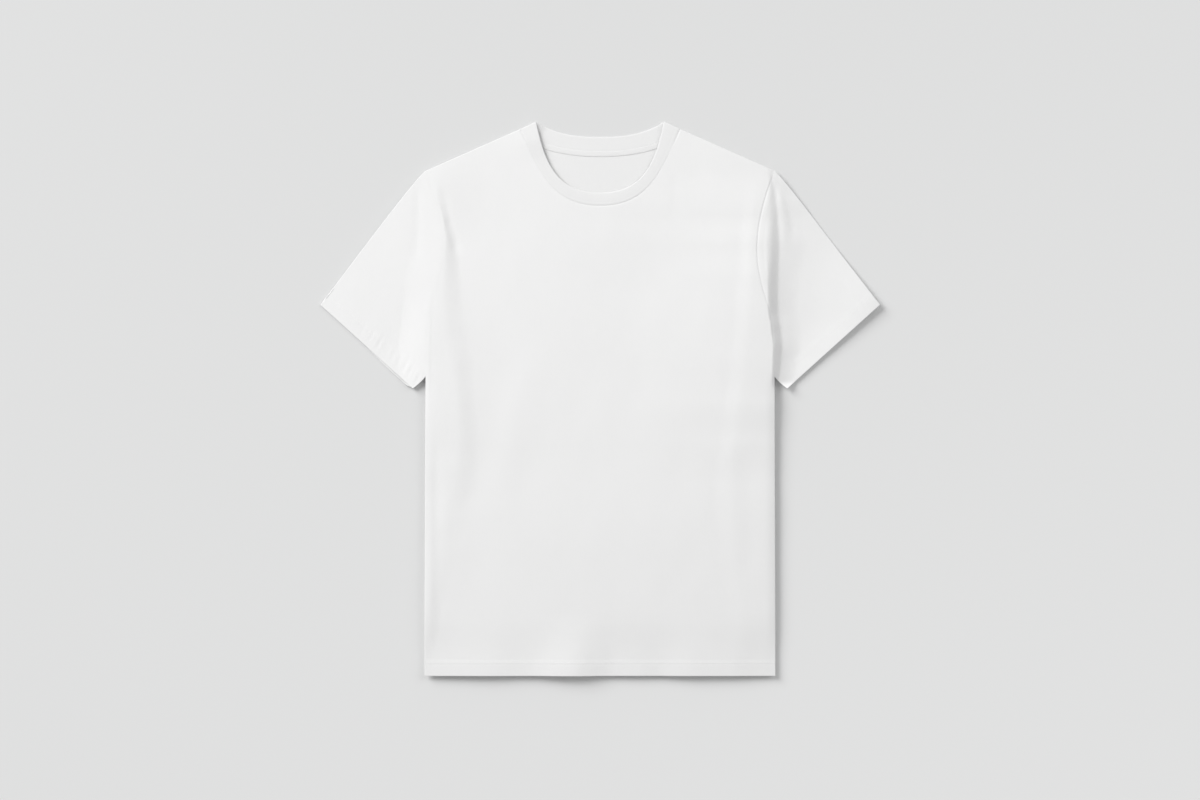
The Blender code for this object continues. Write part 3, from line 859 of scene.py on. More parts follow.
@dataclass
class ClothGrid:
    """Rows of points on a cloth's outer face, each with its place on the flat cut."""

    points: Array
    cut: Array
    closed: bool = False

    def normals(self) -> Array:
        """Read the outward normals of the grid.

        Returns:
            A unit vector for each point.
        """
        if self.closed:
            ring = np.concatenate([self.points[:, -1:], self.points, self.points[:, :1]], axis=1)
            across = np.gradient(ring, axis=1)[:, 1:-1]
        else:
            across = np.gradient(self.points, axis=1)
        return unit(np.cross(across, np.gradient(self.points, axis=0)))

    def turned(self, radius: float, steps: int, kept: int) -> "ClothGrid":
        """Carry the cloth round a fold at its first row and back inside.

        Args:
            radius: Half the thickness of the doubled cloth.
            steps: Rows round the fold.
            kept: Rows of the turned-up part.

        Returns:
            The grid with the turned-up rows before its own.
        """
        normal = self.normals()
        out = unit(self.points[0] - self.points[1])
        out = unit(out - (out * normal[0]).sum(axis=-1, keepdims=True) * normal[0])
        centre = self.points[0] - radius * normal[0]
        on = unit(self.cut[0] - self.cut[1])
        rows, cuts = [], []
        for index in range(kept, -1, -1):
            rows.append(self.points[index] - 2 * radius * normal[index])
            back = np.linalg.norm(self.cut[index] - self.cut[0], axis=-1, keepdims=True)
            cuts.append(self.cut[0] + on * (math.pi * radius + back))
        for angle in np.linspace(math.pi, 0.0, steps + 2)[1:-1]:
            rows.append(centre + radius * (math.cos(angle) * normal[0] + math.sin(angle) * out))
            cuts.append(self.cut[0] + on * radius * angle)
        points = np.concatenate([np.array(rows), self.points])
        return ClothGrid(points, np.concatenate([np.array(cuts), self.cut]), self.closed)

    def mirrored(self) -> "ClothGrid":
        """Turn the order of the columns round, so that the other face is outside."""
        return ClothGrid(self.points[:, ::-1], self.cut[:, ::-1], self.closed)

    def joined(self) -> tuple[Array, Array]:
        """Read the points and the cut, with the first column again at the end of a closed grid.

        Returns:
            Points and places on the cut.
        """
        if not self.closed:
            return self.points, self.cut
        cut = np.concatenate([self.cut, 2 * self.cut[:, -1:] - self.cut[:, -2:-1]], axis=1)
        return np.concatenate([self.points, self.points[:, :1]], axis=1), cut


def add_object(name: str, bm: bmesh.types.BMesh, material: Material) -> Object:
    """Make an object of the scene from a filled bmesh.

    Args:
        name: Name of the object and of its mesh.
        bm: The shape, which is freed.
        material: Its finish.

    Returns:
        The object.
    """
    mesh = bpy.data.meshes.new(name)
    bm.to_mesh(mesh)
    bm.free()
    mesh.shade_smooth()
    mesh.materials.append(material)
    made = bpy.data.objects.new(name, mesh)
    bpy.context.scene.collection.objects.link(made)
    return made


@dataclass(frozen=True)
class ClothPiece:
    """How a grid of cloth becomes a piece of the shirt."""

    name: str
    node: str
    slot: Slot
    wall: float
    rests_on: tuple[str, ...] = ()

    def build(self, grid: ClothGrid, material: Material) -> Object:
        """Fill the mesh, and give the piece its wall, its finish and its body, and hide the imported
        part of its node.

        Args:
            grid: The cloth's outer face.
            material: Its finish.

        Returns:
            The piece.
        """
        points, cuts = grid.joined()
        rows, columns = points.shape[:2]
        bm = bmesh.new()
        uv = bm.loops.layers.uv.new("cut")
        made = bmesh.ops.create_grid(bm, x_segments=columns - 1, y_segments=rows - 1, size=0.5)
        order = sorted(made["verts"], key=lambda vert: (round(vert.co.y, 6), round(vert.co.x, 6)))
        places = (points.reshape(-1, 3) * MM).tolist()
        flats = (cuts.reshape(-1, 2) * MM).tolist()
        for index, (vert, place) in enumerate(zip(order, places)):
            vert.index = index
            vert.co = place
        for face in bm.faces:
            for loop in face.loops:
                loop[uv].uv = flats[loop.vert.index]
        if grid.closed:
            first = range(0, rows * columns, columns)
            pairs = {order[index + columns - 1]: order[index] for index in first}
            bmesh.ops.weld_verts(bm, targetmap=pairs)
        piece = add_object(self.name, bm, material)
        shell = piece.modifiers.new("wall", "SOLIDIFY")
        shell.thickness = self.wall * MM
        shell.offset = -1.0
        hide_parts(self.node)
        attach(piece, BODY)
        return piece

    def declare(self, piece: Object, grid: ClothGrid, threads: Iterable[Object]) -> None:
        """Args:
            piece: The piece; not used.
            grid: The cloth it was made from; not used.
            threads: Stitching on it; not used.
        """


def graded(
    length: float, coarse: float, ends: Iterable[float], tail: Iterable[float] | None = None
) -> Array:
    """Space stations along a length, close together at its ends.

    Args:
        length: The whole length.
        coarse: Spacing between the ends.
        ends: Distances of the close stations from the start, rising from 0.
        tail: The same from the end; the start's are used where it is None.

    Returns:
        Rising distances from 0 to length.
    """
    head = np.array([*ends])
    foot = head if tail is None else np.array([*tail])
    middle = length - head[-1] - foot[-1]
    count = max(2, round(middle / coarse))
    inner = head[-1] + middle * np.arange(1, count) / count
    return np.concatenate([head, inner, length - foot[::-1]])


def roll_steps(radius: float, count: int, beyond: Iterable[float] = ()) -> list[float]:
    """Place stations round a roll of that reach, evenly by its turn, and a few beyond it."""
    turn = [radius * (1.0 - math.cos(math.pi / 2 * step / count)) for step in range(count + 1)]
    return turn + [*beyond]


@dataclass(frozen=True)
class Part:
    """A part of the shirt, made on its laid shape."""

    shape: LaidShape

    @property
    def plan(self) -> ShirtPlan:
        """Read the shirt's plan."""
        return self.shape.seams.plan


@dataclass(frozen=True)
class TurnedPart(Part):
    """A part of jersey with an edge that is turned up inside and stitched down."""

    _: KW_ONLY
    wall: float = 0.42
    turn_radius: float = 0.5
    turn_steps: int = 5
    turn_short: float = 0.5
    press: float = 0.3
    side_steps: int = 4

    def turn_up(self, cloth: ClothGrid, inside: Array, depth: float) -> ClothGrid:
        """Turn up the edge that deep, where each row of the cloth lies so far inside its line."""
        kept = int(np.searchsorted(inside, depth - self.turn_short))
        return cloth.turned(self.turn_radius, self.turn_steps, kept)


@dataclass(frozen=True)
class BodyPanel(TurnedPart):
    """The front or the back of the body, with its hem turned up inside."""

    face: Face
    hem_set: float
    spacing: float = 3.4
    arch_power: float = 1.2
    hem_stations: Stations = (0.0, 0.5, 1.2, 2.2)
    row_stations: Stations = (
        2.5, 4.0, 6.0, 8.5, 11.0, 13.2, 14.8, 16.1, 16.8, 17.3, 17.8, 18.3,
        18.9, 19.5, 20.0, 20.4, 20.9, 21.5, 22.3, 23.3, 24.3, 25.6, 27.6,
    )
    row_gap: float = 0.8
    underarm_stations: Pair = (0.0, 1.5)
    neck_stations: Pair = (0.0, 2.0)
    shoulder_stations: Stations = (0.0, 0.4, 0.8, 1.3, 2.0, 3.0, 4.5, 6.5, 9.0, 12.0)
    side_stations: Stations = (0.8, 1.3, 2.0, 2.9, 4.0, 5.3, 6.8, 8.4, 10.6, 13.2)
    armhole_steps: int = 5

    def piece(self) -> ClothPiece:
        """Name the piece and what it replaces."""
        face, rests = self.face.value, ("cloth_back",) if self.face is Face.FRONT else ()
        return ClothPiece(f"cloth_{face}", f"{face}_panel", Slot.JERSEY, self.wall, rests)

    def border(self) -> Array:
        """Trace the panel's right border from hem to neck.

        Returns:
            The end point of each row.
        """
        plan = self.plan
        side = plan.side()
        inset = self.turn_radius + self.hem_set
        least = inset + self.hem_stations[-1] + self.row_gap
        near_hem = [*self.hem_stations, *(row - inset for row in self.row_stations if row > least)]
        rest = side.length() - inset
        stations = inset + graded(rest, self.spacing, near_hem, self.underarm_stations)
        lines = [side.points(side.shares_at(stations))]
        armhole = self.shape.seams.fine_armhole
        near_underarm = roll_steps(plan.nose, self.armhole_steps)
        lines.append(armhole.at(graded(armhole.length, self.spacing, near_underarm)[1:]))
        shoulder = plan.shoulder_line()
        up = graded(shoulder.length(), self.spacing, self.neck_stations, self.shoulder_stations)[1:]
        lines.append(shoulder.points(shoulder.shares_at(up)))
        return np.vstack(lines)

    def columns(self, width: Array | float) -> Array:
        """Place a row's columns.

        Args:
            width: Width of each row.

        Returns:
            Shares of the width, one line of them for each row.
        """
        plan = self.plan
        edge = np.array(roll_steps(plan.nose, self.side_steps, self.side_stations))
        count = round((2 * plan.shoulder[0] - 2 * edge[-1]) / self.spacing)
        inner = np.arange(1, count) / count
        widths = np.atleast_1d(np.asarray(width, float))[:, None]
        middle = (edge[-1] + (widths - 2 * edge[-1]) * inner) / widths
        return np.concatenate([edge / widths, middle, 1.0 - edge[::-1] / widths], axis=1)

    def plan_grid(self) -> tuple[Array, Array]:
        """Lay the grid out in plan.

        Returns:
            x and y of the grid, row by row from the hem.
        """
        plan = self.plan
        curve = plan.neck(self.face)
        chord = self.columns(2 * plan.neck_point[0])[0]
        half = chord[: (len(chord) + 1) // 2]
        right = curve.points(curve.shares_at(np.minimum(2 * half, 1.0) * curve.length()))
        neck = np.vstack([right * (-1, 1), right[: len(chord) // 2][::-1]])
        border = self.border()
        shares = self.columns(2 * border[:, 0])
        low, high = plan.underarm[1], plan.neck_point[1]
        rise = np.maximum(border[:, 1] - low, 0.0) / (high - low)
        arch = (rise**self.arch_power)[:, None]
        bend = neck[:, 0] - plan.neck_point[0] * (2 * chord - 1)
        x = border[:, :1] * (2 * shares - 1) + arch * bend
        y = border[:, 1:] + arch * (neck[:, 1] - high)
        return x, y

    def grid(self) -> ClothGrid:
        """Raise the cloth to its laid shape and turn its hem.

        Returns:
            The panel's outer face.
        """
        plan = self.plan
        x, y = self.plan_grid()
        above = y - plan.hem_corner[1]
        if self.face is Face.FRONT:
            z = self.shape.body_top(x, y)
        else:
            z = self.shape.tucked(x, y) + self.press * plan.stitched(above, plan.hem_depth)
        cloth = ClothGrid(np.stack([x, y, z], axis=-1), np.stack([x, y], axis=-1))
        if self.face is Face.BACK:
            cloth = cloth.mirrored()
        return self.turn_up(cloth, above[:, 0], plan.hem_depth)


@dataclass(frozen=True)
class Sleeve(TurnedPart):
    """A sleeve as a tube from its armhole to its turned-up cuff."""

    side: Side
    spacing: float = 2.6
    columns: int = 88
    cuff_stations: Stations = (
        0.0, 0.6, 1.5, 3.0, 5.0, 7.5, 10.0, 12.0, 13.3, 14.0, 14.6, 15.2,
        15.8, 16.5, 17.2, 17.8, 18.4, 19.0, 19.8, 21.0, 22.5, 24.5,
    )
    seam_stations: Stations = (0.0, 0.5, 1.0, 1.6, 2.4, 3.5, 5.0, 7.0, 9.0, 11.0)
    side_stations: Stations = (0.8, 1.3, 2.0, 3.0, 4.4, 6.2, 8.4, 11.0)
    peek: float = 0.0
    peek_start: Pair = (0.45, 0.75)
    peek_end: Pair = (1.0, 0.93)
    peek_fade: Pair = (40.0, 4.0)

    def piece(self) -> ClothPiece:
        """Name the piece and what it replaces."""
        side = self.side.name.lower()
        return ClothPiece(f"cloth_sleeve_{side}", f"sleeve_{side}", Slot.JERSEY, self.wall)

    def seam_points(self, shares: Array) -> Array:
        """Read the armhole from shoulder to underarm at shares of its length."""
        armhole = self.shape.seams.fine_armhole
        return armhole.at(armhole.length * (1.0 - shares))

    def plan_points(self, along: float, across: Array) -> Array:
        """Lay out one ring of the right sleeve in plan.

        Args:
            along: 0 at the armhole and 1 at the cuff.
            across: 0 at the upper fold and 1 at the lower one.

        Returns:
            Plan points.
        """
        plan = self.plan
        top, foot = plan.sleeve_top().points(along), plan.sleeve_underarm().points(along)
        top_chord = mix(np.array(plan.shoulder), np.array(plan.cuff_top), along)
        foot_chord = mix(np.array(plan.underarm), np.array(plan.cuff_foot), along)
        share = across[:, None]
        cuff = mix(np.array(plan.cuff_top), np.array(plan.cuff_foot), share)
        straight = mix(self.seam_points(across), cuff, along)
        return straight + mix(top - top_chord, foot - foot_chord, share)

    def grid(self) -> ClothGrid:
        """Lay the tube's rings from cuff to armhole.

        Returns:
            The sleeve's outer face, with its cuff turned in.
        """
        plan = self.plan
        fall = plan.sleeve_top().length()
        inset = self.turn_radius / fall
        rest = fall - self.turn_radius
        stations = graded(rest, self.spacing, self.cuff_stations, self.seam_stations)
        edge = np.array(roll_steps(plan.nose, self.side_steps, self.side_stations))
        rows, cuts = [], []
        for along in 1.0 - inset - stations / fall:
            ends = self.plan_points(along, np.array([0.0, 1.0]))
            width = float(np.linalg.norm(np.diff(ends, axis=0)))
            inner = edge[-1] + (width - 2 * edge[-1]) * np.arange(1, self.columns) / self.columns
            across = np.concatenate([edge, inner, width - edge[::-1]]) / width
            ring = self.plan_points(float(along), across)
            x, y = self.side.value * ring[:, 0], ring[:, 1]
            top = np.stack([x, y, self.shape.sleeve_top(x, y)], axis=-1)
            low = self.under_face(x[1:-1], y[1:-1], across[1:-1])
            rows.append(np.vstack([top, low[::-1]]))
            under = self.cut_places(x[1:-1], y[1:-1], -1.0)
            cuts.append(np.vstack([self.cut_places(x, y, 1.0), under[::-1]]))
        cloth = ClothGrid(np.array(rows), np.array(cuts), closed=True)
        if self.side is Side.RIGHT:
            cloth = cloth.mirrored()
        return self.turn_up(cloth, stations, plan.cuff_depth)

    def under_face(self, x: Array, y: Array, across: Array) -> Array:
        """Lay the sleeve's lower layer on the floor.

        Args:
            x, y: Plan positions of the upper layer.
            across: Where they lie between the two folds.

        Returns:
            Points of the lower layer, which may reach a little past the upper one at the cuff.
        """
        plan = self.plan
        inside = plan.cuff_distance(x, y)
        inward = plan.cuff_inward()
        reach = ramp(across, *self.peek_start) * ramp(across, *self.peek_end)
        shift = self.peek * reach * ramp(inside, *self.peek_fade)
        z = self.shape.tucked(x, y) + self.press * plan.stitched(inside, plan.cuff_depth)
        x = x - self.side.value * inward[0] * shift
        return np.stack([x, y - inward[1] * shift, z], axis=-1)

    def cut_places(self, x: Array, y: Array, layer: float) -> Array:
        """Find the places of points on the flat sleeve, whose middle line is the upper fold.

        Args:
            x, y: Plan positions.
            layer: 1 on the upper layer and -1 on the lower one.

        Returns:
            Places on the cut: across from the middle line, and along it.
        """
        plan = self.plan
        run = unit(np.subtract(plan.cuff_top, plan.shoulder))
        away = np.stack([np.abs(x) - plan.shoulder[0], y - plan.shoulder[1]], axis=-1)
        along = away @ run
        across = away[:, 0] * run[1] - away[:, 1] * run[0]
        roll = 0.5 * plan.nose
        return np.stack([layer * (across + roll), along], axis=-1)


@dataclass(frozen=True)
class Neckband(Part):
    """The doubled rib band, sewn to both panels and folded at its free edge."""

    wall: float = 0.4
    edge_radius: float = 0.44
    depth: float = 18.0
    spacing: float = 1.7
    rise: float = 0.12
    proud_reach: Pair = (312.0, 285.0)
    least_proud: float = 0.25
    rise_share: float = 0.14
    crown: float = 0.08
    seam_mark: float = 0.27
    mark_width: float = 0.03
    mark_depth: float = 0.06
    edge_steps: int = 7
    shoulder_steps: int = 6
    depth_shares: Stations = (
        0.88, 0.78, 0.68, 0.58, 0.48, 0.4, 0.34, 0.3, 0.27,
        0.24, 0.2, 0.15, 0.11, 0.08, 0.055, 0.03, 0.015, 0.0,
    )

    def piece(self) -> ClothPiece:
        """Name the piece and what it replaces."""
        return ClothPiece("cloth_neckband", "neckband", Slot.RIB, self.wall)

    def half(self, face: Face) -> Array:
        """Place stations on one half of one neck curve.

        Args:
            face: Which panel's neck.

        Returns:
            Shares of the curve from shoulder to middle.
        """
        plan = self.plan
        curve, near = plan.neck(face), roll_steps(plan.nose, self.shoulder_steps)
        return curve.shares_at(graded(curve.length(), self.spacing, near, [0.0]))

    def grid(self) -> ClothGrid:
        """Lay the band's outer face round the neck and fold it at its free edge.

        Returns:
            The band's cloth.
        """
        plan = self.plan
        depths = np.array([1.0 - self.edge_radius / self.depth, *self.depth_shares])
        front, back = self.half(Face.FRONT), self.half(Face.BACK)
        parts = [(Face.FRONT, front[::-1], -1), (Face.BACK, back[1:], -1)]
        parts += [(Face.BACK, back[-2::-1], 1), (Face.FRONT, front[1:-1], 1)]
        columns = []
        for face, shares, side in parts:
            seam, edge = plan.neck(face).points(shares), plan.band_edge(face).points(shares)
            for low, high in zip(seam, edge):
                spot = mix(low, high, depths[:, None])
                x, y = side * spot[:, 0], spot[:, 1]
                columns.append(np.stack([x, y, self.face_height(face, x, y, depths)], axis=-1))
        points = np.stack(columns, axis=1)
        around = walked(points[len(depths) // 2])
        cut = np.stack(np.broadcast_arrays(around[None, :], -self.depth * depths[:, None]), axis=-1)
        cloth = ClothGrid(points, cut, closed=True)
        return cloth.turned(self.edge_radius, self.edge_steps, len(depths) - 1)

    def face_height(self, face: Face, x: Array, y: Array, depths: Array) -> Array:
        """Read the height of the band's outer face.

        Args:
            face: Whether the station lies over the front or the back.
            x, y: Plan positions.
            depths: Shares of the band's depth from its seam.

        Returns:
            Height at each point.
        """
        if face is Face.BACK:
            return self.shape.tucked(x, y)
        proud = mix(self.least_proud, 1.0, ramp(y, *self.proud_reach))
        rise = proud * self.rise * ramp(depths, 0.0, self.rise_share)
        rise = rise + self.crown * np.sin(np.pi * depths)
        mark = self.mark_depth * bell(depths - self.seam_mark, self.mark_width)
        return self.shape.band_top(x, y, rise - mark)


@dataclass(frozen=True)
class NeckTape(Part):
    """The tape that covers the back neck seam on the inside."""

    wall: float = 0.22
    top: float = 0.97
    gap: float = 0.1
    stitched: Pair = (1.45, 6.35)
    start: float = 4.0
    spacing: float = 1.8
    section: tuple[Pair, ...] = (
        (5.7, 0.55), (6.9, 0.55), (7.35, 0.48), (7.4, 0.38), (7.25, 0.28), (6.8, 0.2), (6.35, 0.23),
        (6.0, 0.15), (4.8, 0.1), (3.7, 0.06), (2.6, 0.03), (1.8, 0.0), (1.45, 0.04), (1.1, 0.0),
        (0.2, 0.02), (-0.1, 0.12), (-0.05, 0.3), (0.5, 0.5), (1.7, 0.55),
    )

    def piece(self) -> ClothPiece:
        """Name the piece and what it replaces."""
        return ClothPiece("cloth_neck_tape", "neck_tape", Slot.TAPE, self.wall, ("cloth_back",))

    def lines(self, distances: Array, down: Iterable[float]) -> Array:
        """Trace lines along the seam of the back neck, from one shoulder to the other.

        Args:
            distances: Distances along the seam from its shoulder end to its middle.
            down: How far into the panel each line lies.

        Returns:
            Plan points, one row of them for each line.
        """
        curve = self.plan.neck(Face.BACK)
        shares = curve.shares_at(distances)
        offsets = self.gap + np.array(down)[:, None, None]
        right = curve.points(shares) + curve.lefts(shares) * offsets
        return np.concatenate([right[:, :-1] * (-1, 1), right[:, ::-1]], axis=1)

    def grid(self) -> ClothGrid:
        """Lay the tape along the seam, with both its edges turned under.

        Returns:
            The tape's outer face.
        """
        curve = self.plan.neck(Face.BACK)
        distances = graded(curve.length() - self.start, self.spacing, [0.0]) + self.start
        down, drop = np.array(self.section).T
        line = self.lines(distances, down)
        along = np.concatenate([distances[:-1] - distances[-1], (distances[-1] - distances)[::-1]])
        across = walked(np.array(self.section))
        level = np.broadcast_to((self.top - drop)[:, None, None], (*line.shape[:2], 1))
        cut = np.stack(np.broadcast_arrays(along[None, :], across[:, None]), axis=-1)
        return ClothGrid(np.concatenate([line, level], axis=-1), cut)


@dataclass(frozen=True)
class StitchRow:
    """A row of lockstitches that lie on the cloth."""

    name: str
    slot: Slot = Slot.JERSEY
    pitch: float = 3.0
    reach: float = 2.3
    thickness: float = 0.34
    overlap: float = 1.12
    flatness: float = 0.8

    def build(self, lines: Iterable[Array], material: Material) -> Object:
        """Lay the stitches along lines.

        Args:
            lines: Points in order along each seam, in millimetres.
            material: The thread's finish.

        Returns:
            The row as one piece.
        """
        bm = bmesh.new()
        for line in lines:
            seam = Trace(line)
            for centre in np.arange(0.5 * self.pitch, seam.length - 0.5 * self.pitch, self.pitch):
                ends = centre - 0.5 * self.reach, centre + 0.5 * self.reach
                self.add_stitch(bm, *(Vector((seam.at(end) * MM).tolist()) for end in ends))
        row = add_object(self.name, bm, material)
        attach(row, BODY)
        return row

    def add_stitch(self, bm: bmesh.types.BMesh, start: Vector, end: Vector) -> None:
        """Add one rounded stitch between two points.

        Args:
            bm: The row's mesh.
            start: Where the stitch comes up.
            end: Where it goes down.
        """
        turn = (end - start).to_track_quat("Z", "Y").to_matrix().to_4x4()
        thick = 0.5 * self.thickness * MM
        size = (thick, thick * self.flatness, 0.5 * self.overlap * (end - start).length, 1.0)
        place = Matrix.Translation((start + end) / 2) @ turn @ Matrix.Diagonal(size)
        bmesh.ops.create_icosphere(bm, subdivisions=1, radius=1.0, matrix=place)


@dataclass(frozen=True)
class Stitching(Part):
    """The twin rows of the hem and the cuffs, and the rows that hold the neck tape."""

    step: float = 1.0
    lift: float = 0.05
    under: float = 0.22
    hem_reach: float = 224.0
    cuff_ends: Pair = (4.0, 3.0)
    tape_end: float = 2.0
    tape_sink: float = 0.06

    def hem(self, face: Face) -> list[Array]:
        """Trace the hem's rows on one face of the shirt.

        Args:
            face: Which face.

        Returns:
            Points along each row.
        """
        plan = self.plan
        x = np.arange(-self.hem_reach, self.hem_reach + 0.1, self.step)
        lines = []
        for row in plan.stitch_rows:
            y = np.full(len(x), plan.hem_corner[1] + plan.hem_depth - row)
            front = face is Face.FRONT
            z = self.shape.body_top(x, y) + self.lift if front else np.full(len(x), self.under)
            lines.append(np.stack([x, y, z], axis=-1))
        return lines

    def cuff(self, side: Side) -> list[Array]:
        """Trace a cuff's rows on both layers.

        Args:
            side: Which sleeve.

        Returns:
            Points along each row.
        """
        plan = self.plan
        width = math.dist(plan.cuff_top, plan.cuff_foot)
        along = np.arange(self.cuff_ends[0], width - self.cuff_ends[1], self.step)
        lines = []
        for row in plan.stitch_rows:
            inset = (plan.cuff_depth - row) * plan.cuff_inward()
            spots = np.array(plan.cuff_top) + along[:, None] * plan.cuff_run() + inset
            x, y = side.value * spots[:, 0], spots[:, 1]
            for z in (self.shape.sleeve_top(x, y) + self.lift, np.full(len(x), self.under)):
                lines.append(np.stack([x, y, z], axis=-1))
        return lines

    def tape(self, tape: NeckTape) -> list[Array]:
        """Trace the two rows that hold the neck tape.

        Args:
            tape: The tape.

        Returns:
            Points along each row.
        """
        half = self.plan.neck(Face.BACK).length()
        distances = np.arange(tape.start + self.tape_end, half + 0.1, self.step)
        return [
            np.pad(line, ((0, 0), (0, 1)), constant_values=tape.top - self.tape_sink)
            for line in tape.lines(distances, tape.stitched)
        ]


# Finishes.


class Graph:
    """A material's nodes, wired by short calls."""

    def __init__(self, name: str) -> None:
        """Start a material with its shader.

        Args:
            name: Name of the material.
        """
        self.material = bpy.data.materials.new(name)
        self.material.use_nodes = True
        self.tree = self.material.node_tree
        self.tree.nodes.clear()
        self.shader = self.add("ShaderNodeBsdfPrincipled")
        output = self.add("ShaderNodeOutputMaterial")
        self.tree.links.new(self.shader.outputs["BSDF"], output.inputs["Surface"])

    def add(self, kind: str, **settings: object) -> bpy.types.Node:
        """Add a node.

        Args:
            kind: Type of the node.
            **settings: Properties to set on it.

        Returns:
            The node.
        """
        node = self.tree.nodes.new(kind)
        for key, value in settings.items():
            setattr(node, key, value)
        return node

    def fill(self, socket: Socket, value: object) -> None:
        """Link a socket to another one, or give it a value.

        Args:
            socket: The input.
            value: A socket or a value.
        """
        if isinstance(value, Socket):
            self.tree.links.new(value, socket)
        else:
            socket.default_value = value

    def feed(self, node: bpy.types.Node, **inputs: object) -> bpy.types.Node:
        """Fill sockets of a node.

        Args:
            node: The node.
            **inputs: A value or a socket for each input, named with _ for spaces.

        Returns:
            The node.
        """
        for key, value in inputs.items():
            self.fill(node.inputs[key.replace("_", " ")], value)
        return node

    def calc(self, operation: str, *terms: object) -> Socket:
        """Work out one value from others.

        Args:
            operation: Name of the Math operation.
            *terms: Numbers or sockets.

        Returns:
            The result's socket.
        """
        node = self.add("ShaderNodeMath", operation=operation)
        for socket, term in zip(node.inputs, terms):
            self.fill(socket, term)
        return node.outputs[0]

    def places(self, source: str, scale: Triple) -> Socket:
        """Read coordinates.

        Args:
            source: UV or Object.
            scale: Repeats in a metre along each axis.

        Returns:
            The scaled coordinates.
        """
        coordinates = self.add("ShaderNodeTexCoord").outputs[source]
        mapping = self.feed(self.add("ShaderNodeMapping"), Vector=coordinates, Scale=scale)
        return mapping.outputs["Vector"]

    def axes(self, source: str, scale: Triple) -> bpy.types.Node:
        """Read coordinates axis by axis; the arguments are those of places."""
        return self.feed(self.add("ShaderNodeSeparateXYZ"), Vector=self.places(source, scale))

    def noise(self, vector: Socket, scale: float, detail: float, roughness: float = 0.55) -> Socket:
        """Add a noise.

        Args:
            vector: Coordinates it reads.
            scale: How fine it is.
            detail: Octaves.
            roughness: Share of the finer octaves.

        Returns:
            Its height, from 0 to 1.
        """
        node = self.add("ShaderNodeTexNoise")
        self.feed(node, Vector=vector, Scale=scale, Detail=detail, Roughness=roughness)
        return node.outputs["Fac"]

    def tint(self, amount: Socket, low: float, high: float, tone: Triple) -> None:
        """Colour the shader between two brightnesses of one tone.

        Args:
            amount: Share of the way from low to high.
            low: Brightness at 0.
            high: Brightness at 1.
            tone: Colour at brightness 1.
        """
        node = self.add("ShaderNodeMix", data_type="RGBA")
        for name, brightness in (("A", low), ("B", high)):
            node.inputs[name].default_value = (*(brightness * part for part in tone), 1.0)
        self.tree.links.new(amount, node.inputs["Factor"])
        self.tree.links.new(node.outputs["Result"], self.shader.inputs["Base Color"])

    def bump(self, height: Socket, distance: float, strength: float) -> None:
        """Press a relief into the surface.

        Args:
            height: Relief from 0 to 1.
            distance: Height of the relief in millimetres.
            strength: Share of it that shows.
        """
        node = self.add("ShaderNodeBump")
        self.feed(node, Height=height, Distance=distance * MM, Strength=strength)
        self.feed(self.shader, Normal=node.outputs["Normal"])


@dataclass(frozen=True)
class KnitFinish:
    """Cotton knit: columns of small V stitches, slightly uneven, with a soft nap."""

    name: str
    wale: float
    course: float
    relief: float
    albedo: float
    rib_pitch: float = 0.0
    tone: Triple = (1.0, 1.0, 0.998)
    variation: float = 0.012
    roughness: float = 0.92
    specular: float = 0.25
    sheen: float = 0.12
    sheen_roughness: float = 0.45
    column_share: float = 0.62
    column_round: float = 0.55
    loop_share: float = 0.22
    loop_slant: float = 1.2
    rib_share: float = 0.45
    slub_scale: Triple = (420.0, 55.0, 1.0)
    slub_share: float = 0.7
    nap_scale: float = 1.6
    nap_share: float = 0.35
    patch_scale: Triple = (9.0, 9.0, 1.0)

    def make(self) -> Material:
        """Wire the material.

        Returns:
            The material, which reads the cloth's own cut.
        """
        graph = Graph(self.name)
        metres = 1.0 / MM
        stitch = graph.axes("UV", (metres / self.wale, metres / self.course, 1.0)).outputs
        leg = graph.calc("PINGPONG", stitch["X"], 0.5)
        column = graph.calc("POWER", graph.calc("MULTIPLY", leg, 2.0), self.column_round)
        slant = graph.calc("ADD", stitch["Y"], graph.calc("MULTIPLY", leg, self.loop_slant))
        loop = graph.calc("SINE", graph.calc("MULTIPLY", slant, 2.0 * math.pi))
        round_column = graph.calc("MULTIPLY", column, self.column_share)
        knit = graph.calc("MULTIPLY_ADD", loop, self.loop_share, round_column)
        if self.rib_pitch:
            ribs = graph.axes("UV", (metres / self.rib_pitch, metres, 1.0)).outputs
            wave = graph.calc("SINE", graph.calc("MULTIPLY", ribs["X"], 2.0 * math.pi))
            knit = graph.calc("MULTIPLY_ADD", wave, self.rib_share, knit)
        slub = graph.noise(graph.places("UV", self.slub_scale), 1.0, 3.0)
        nap = graph.noise(graph.places("UV", (metres, metres, 1.0)), self.nap_scale, 2.0)
        fuzz = graph.calc("MULTIPLY", nap, self.nap_share)
        uneven = graph.calc("MULTIPLY_ADD", slub, self.slub_share, fuzz)
        graph.bump(graph.calc("ADD", knit, uneven), self.relief, 1.0)
        patch = graph.noise(graph.places("UV", self.patch_scale), 1.0, 2.0)
        shade = graph.calc("MULTIPLY_ADD", slub, 0.5, graph.calc("MULTIPLY", patch, 0.5))
        graph.tint(shade, self.albedo - self.variation, self.albedo + self.variation, self.tone)
        graph.feed(
            graph.shader,
            Roughness=self.roughness,
            Specular_IOR_Level=self.specular,
            Sheen_Weight=self.sheen,
            Sheen_Roughness=self.sheen_roughness,
        )
        return graph.material


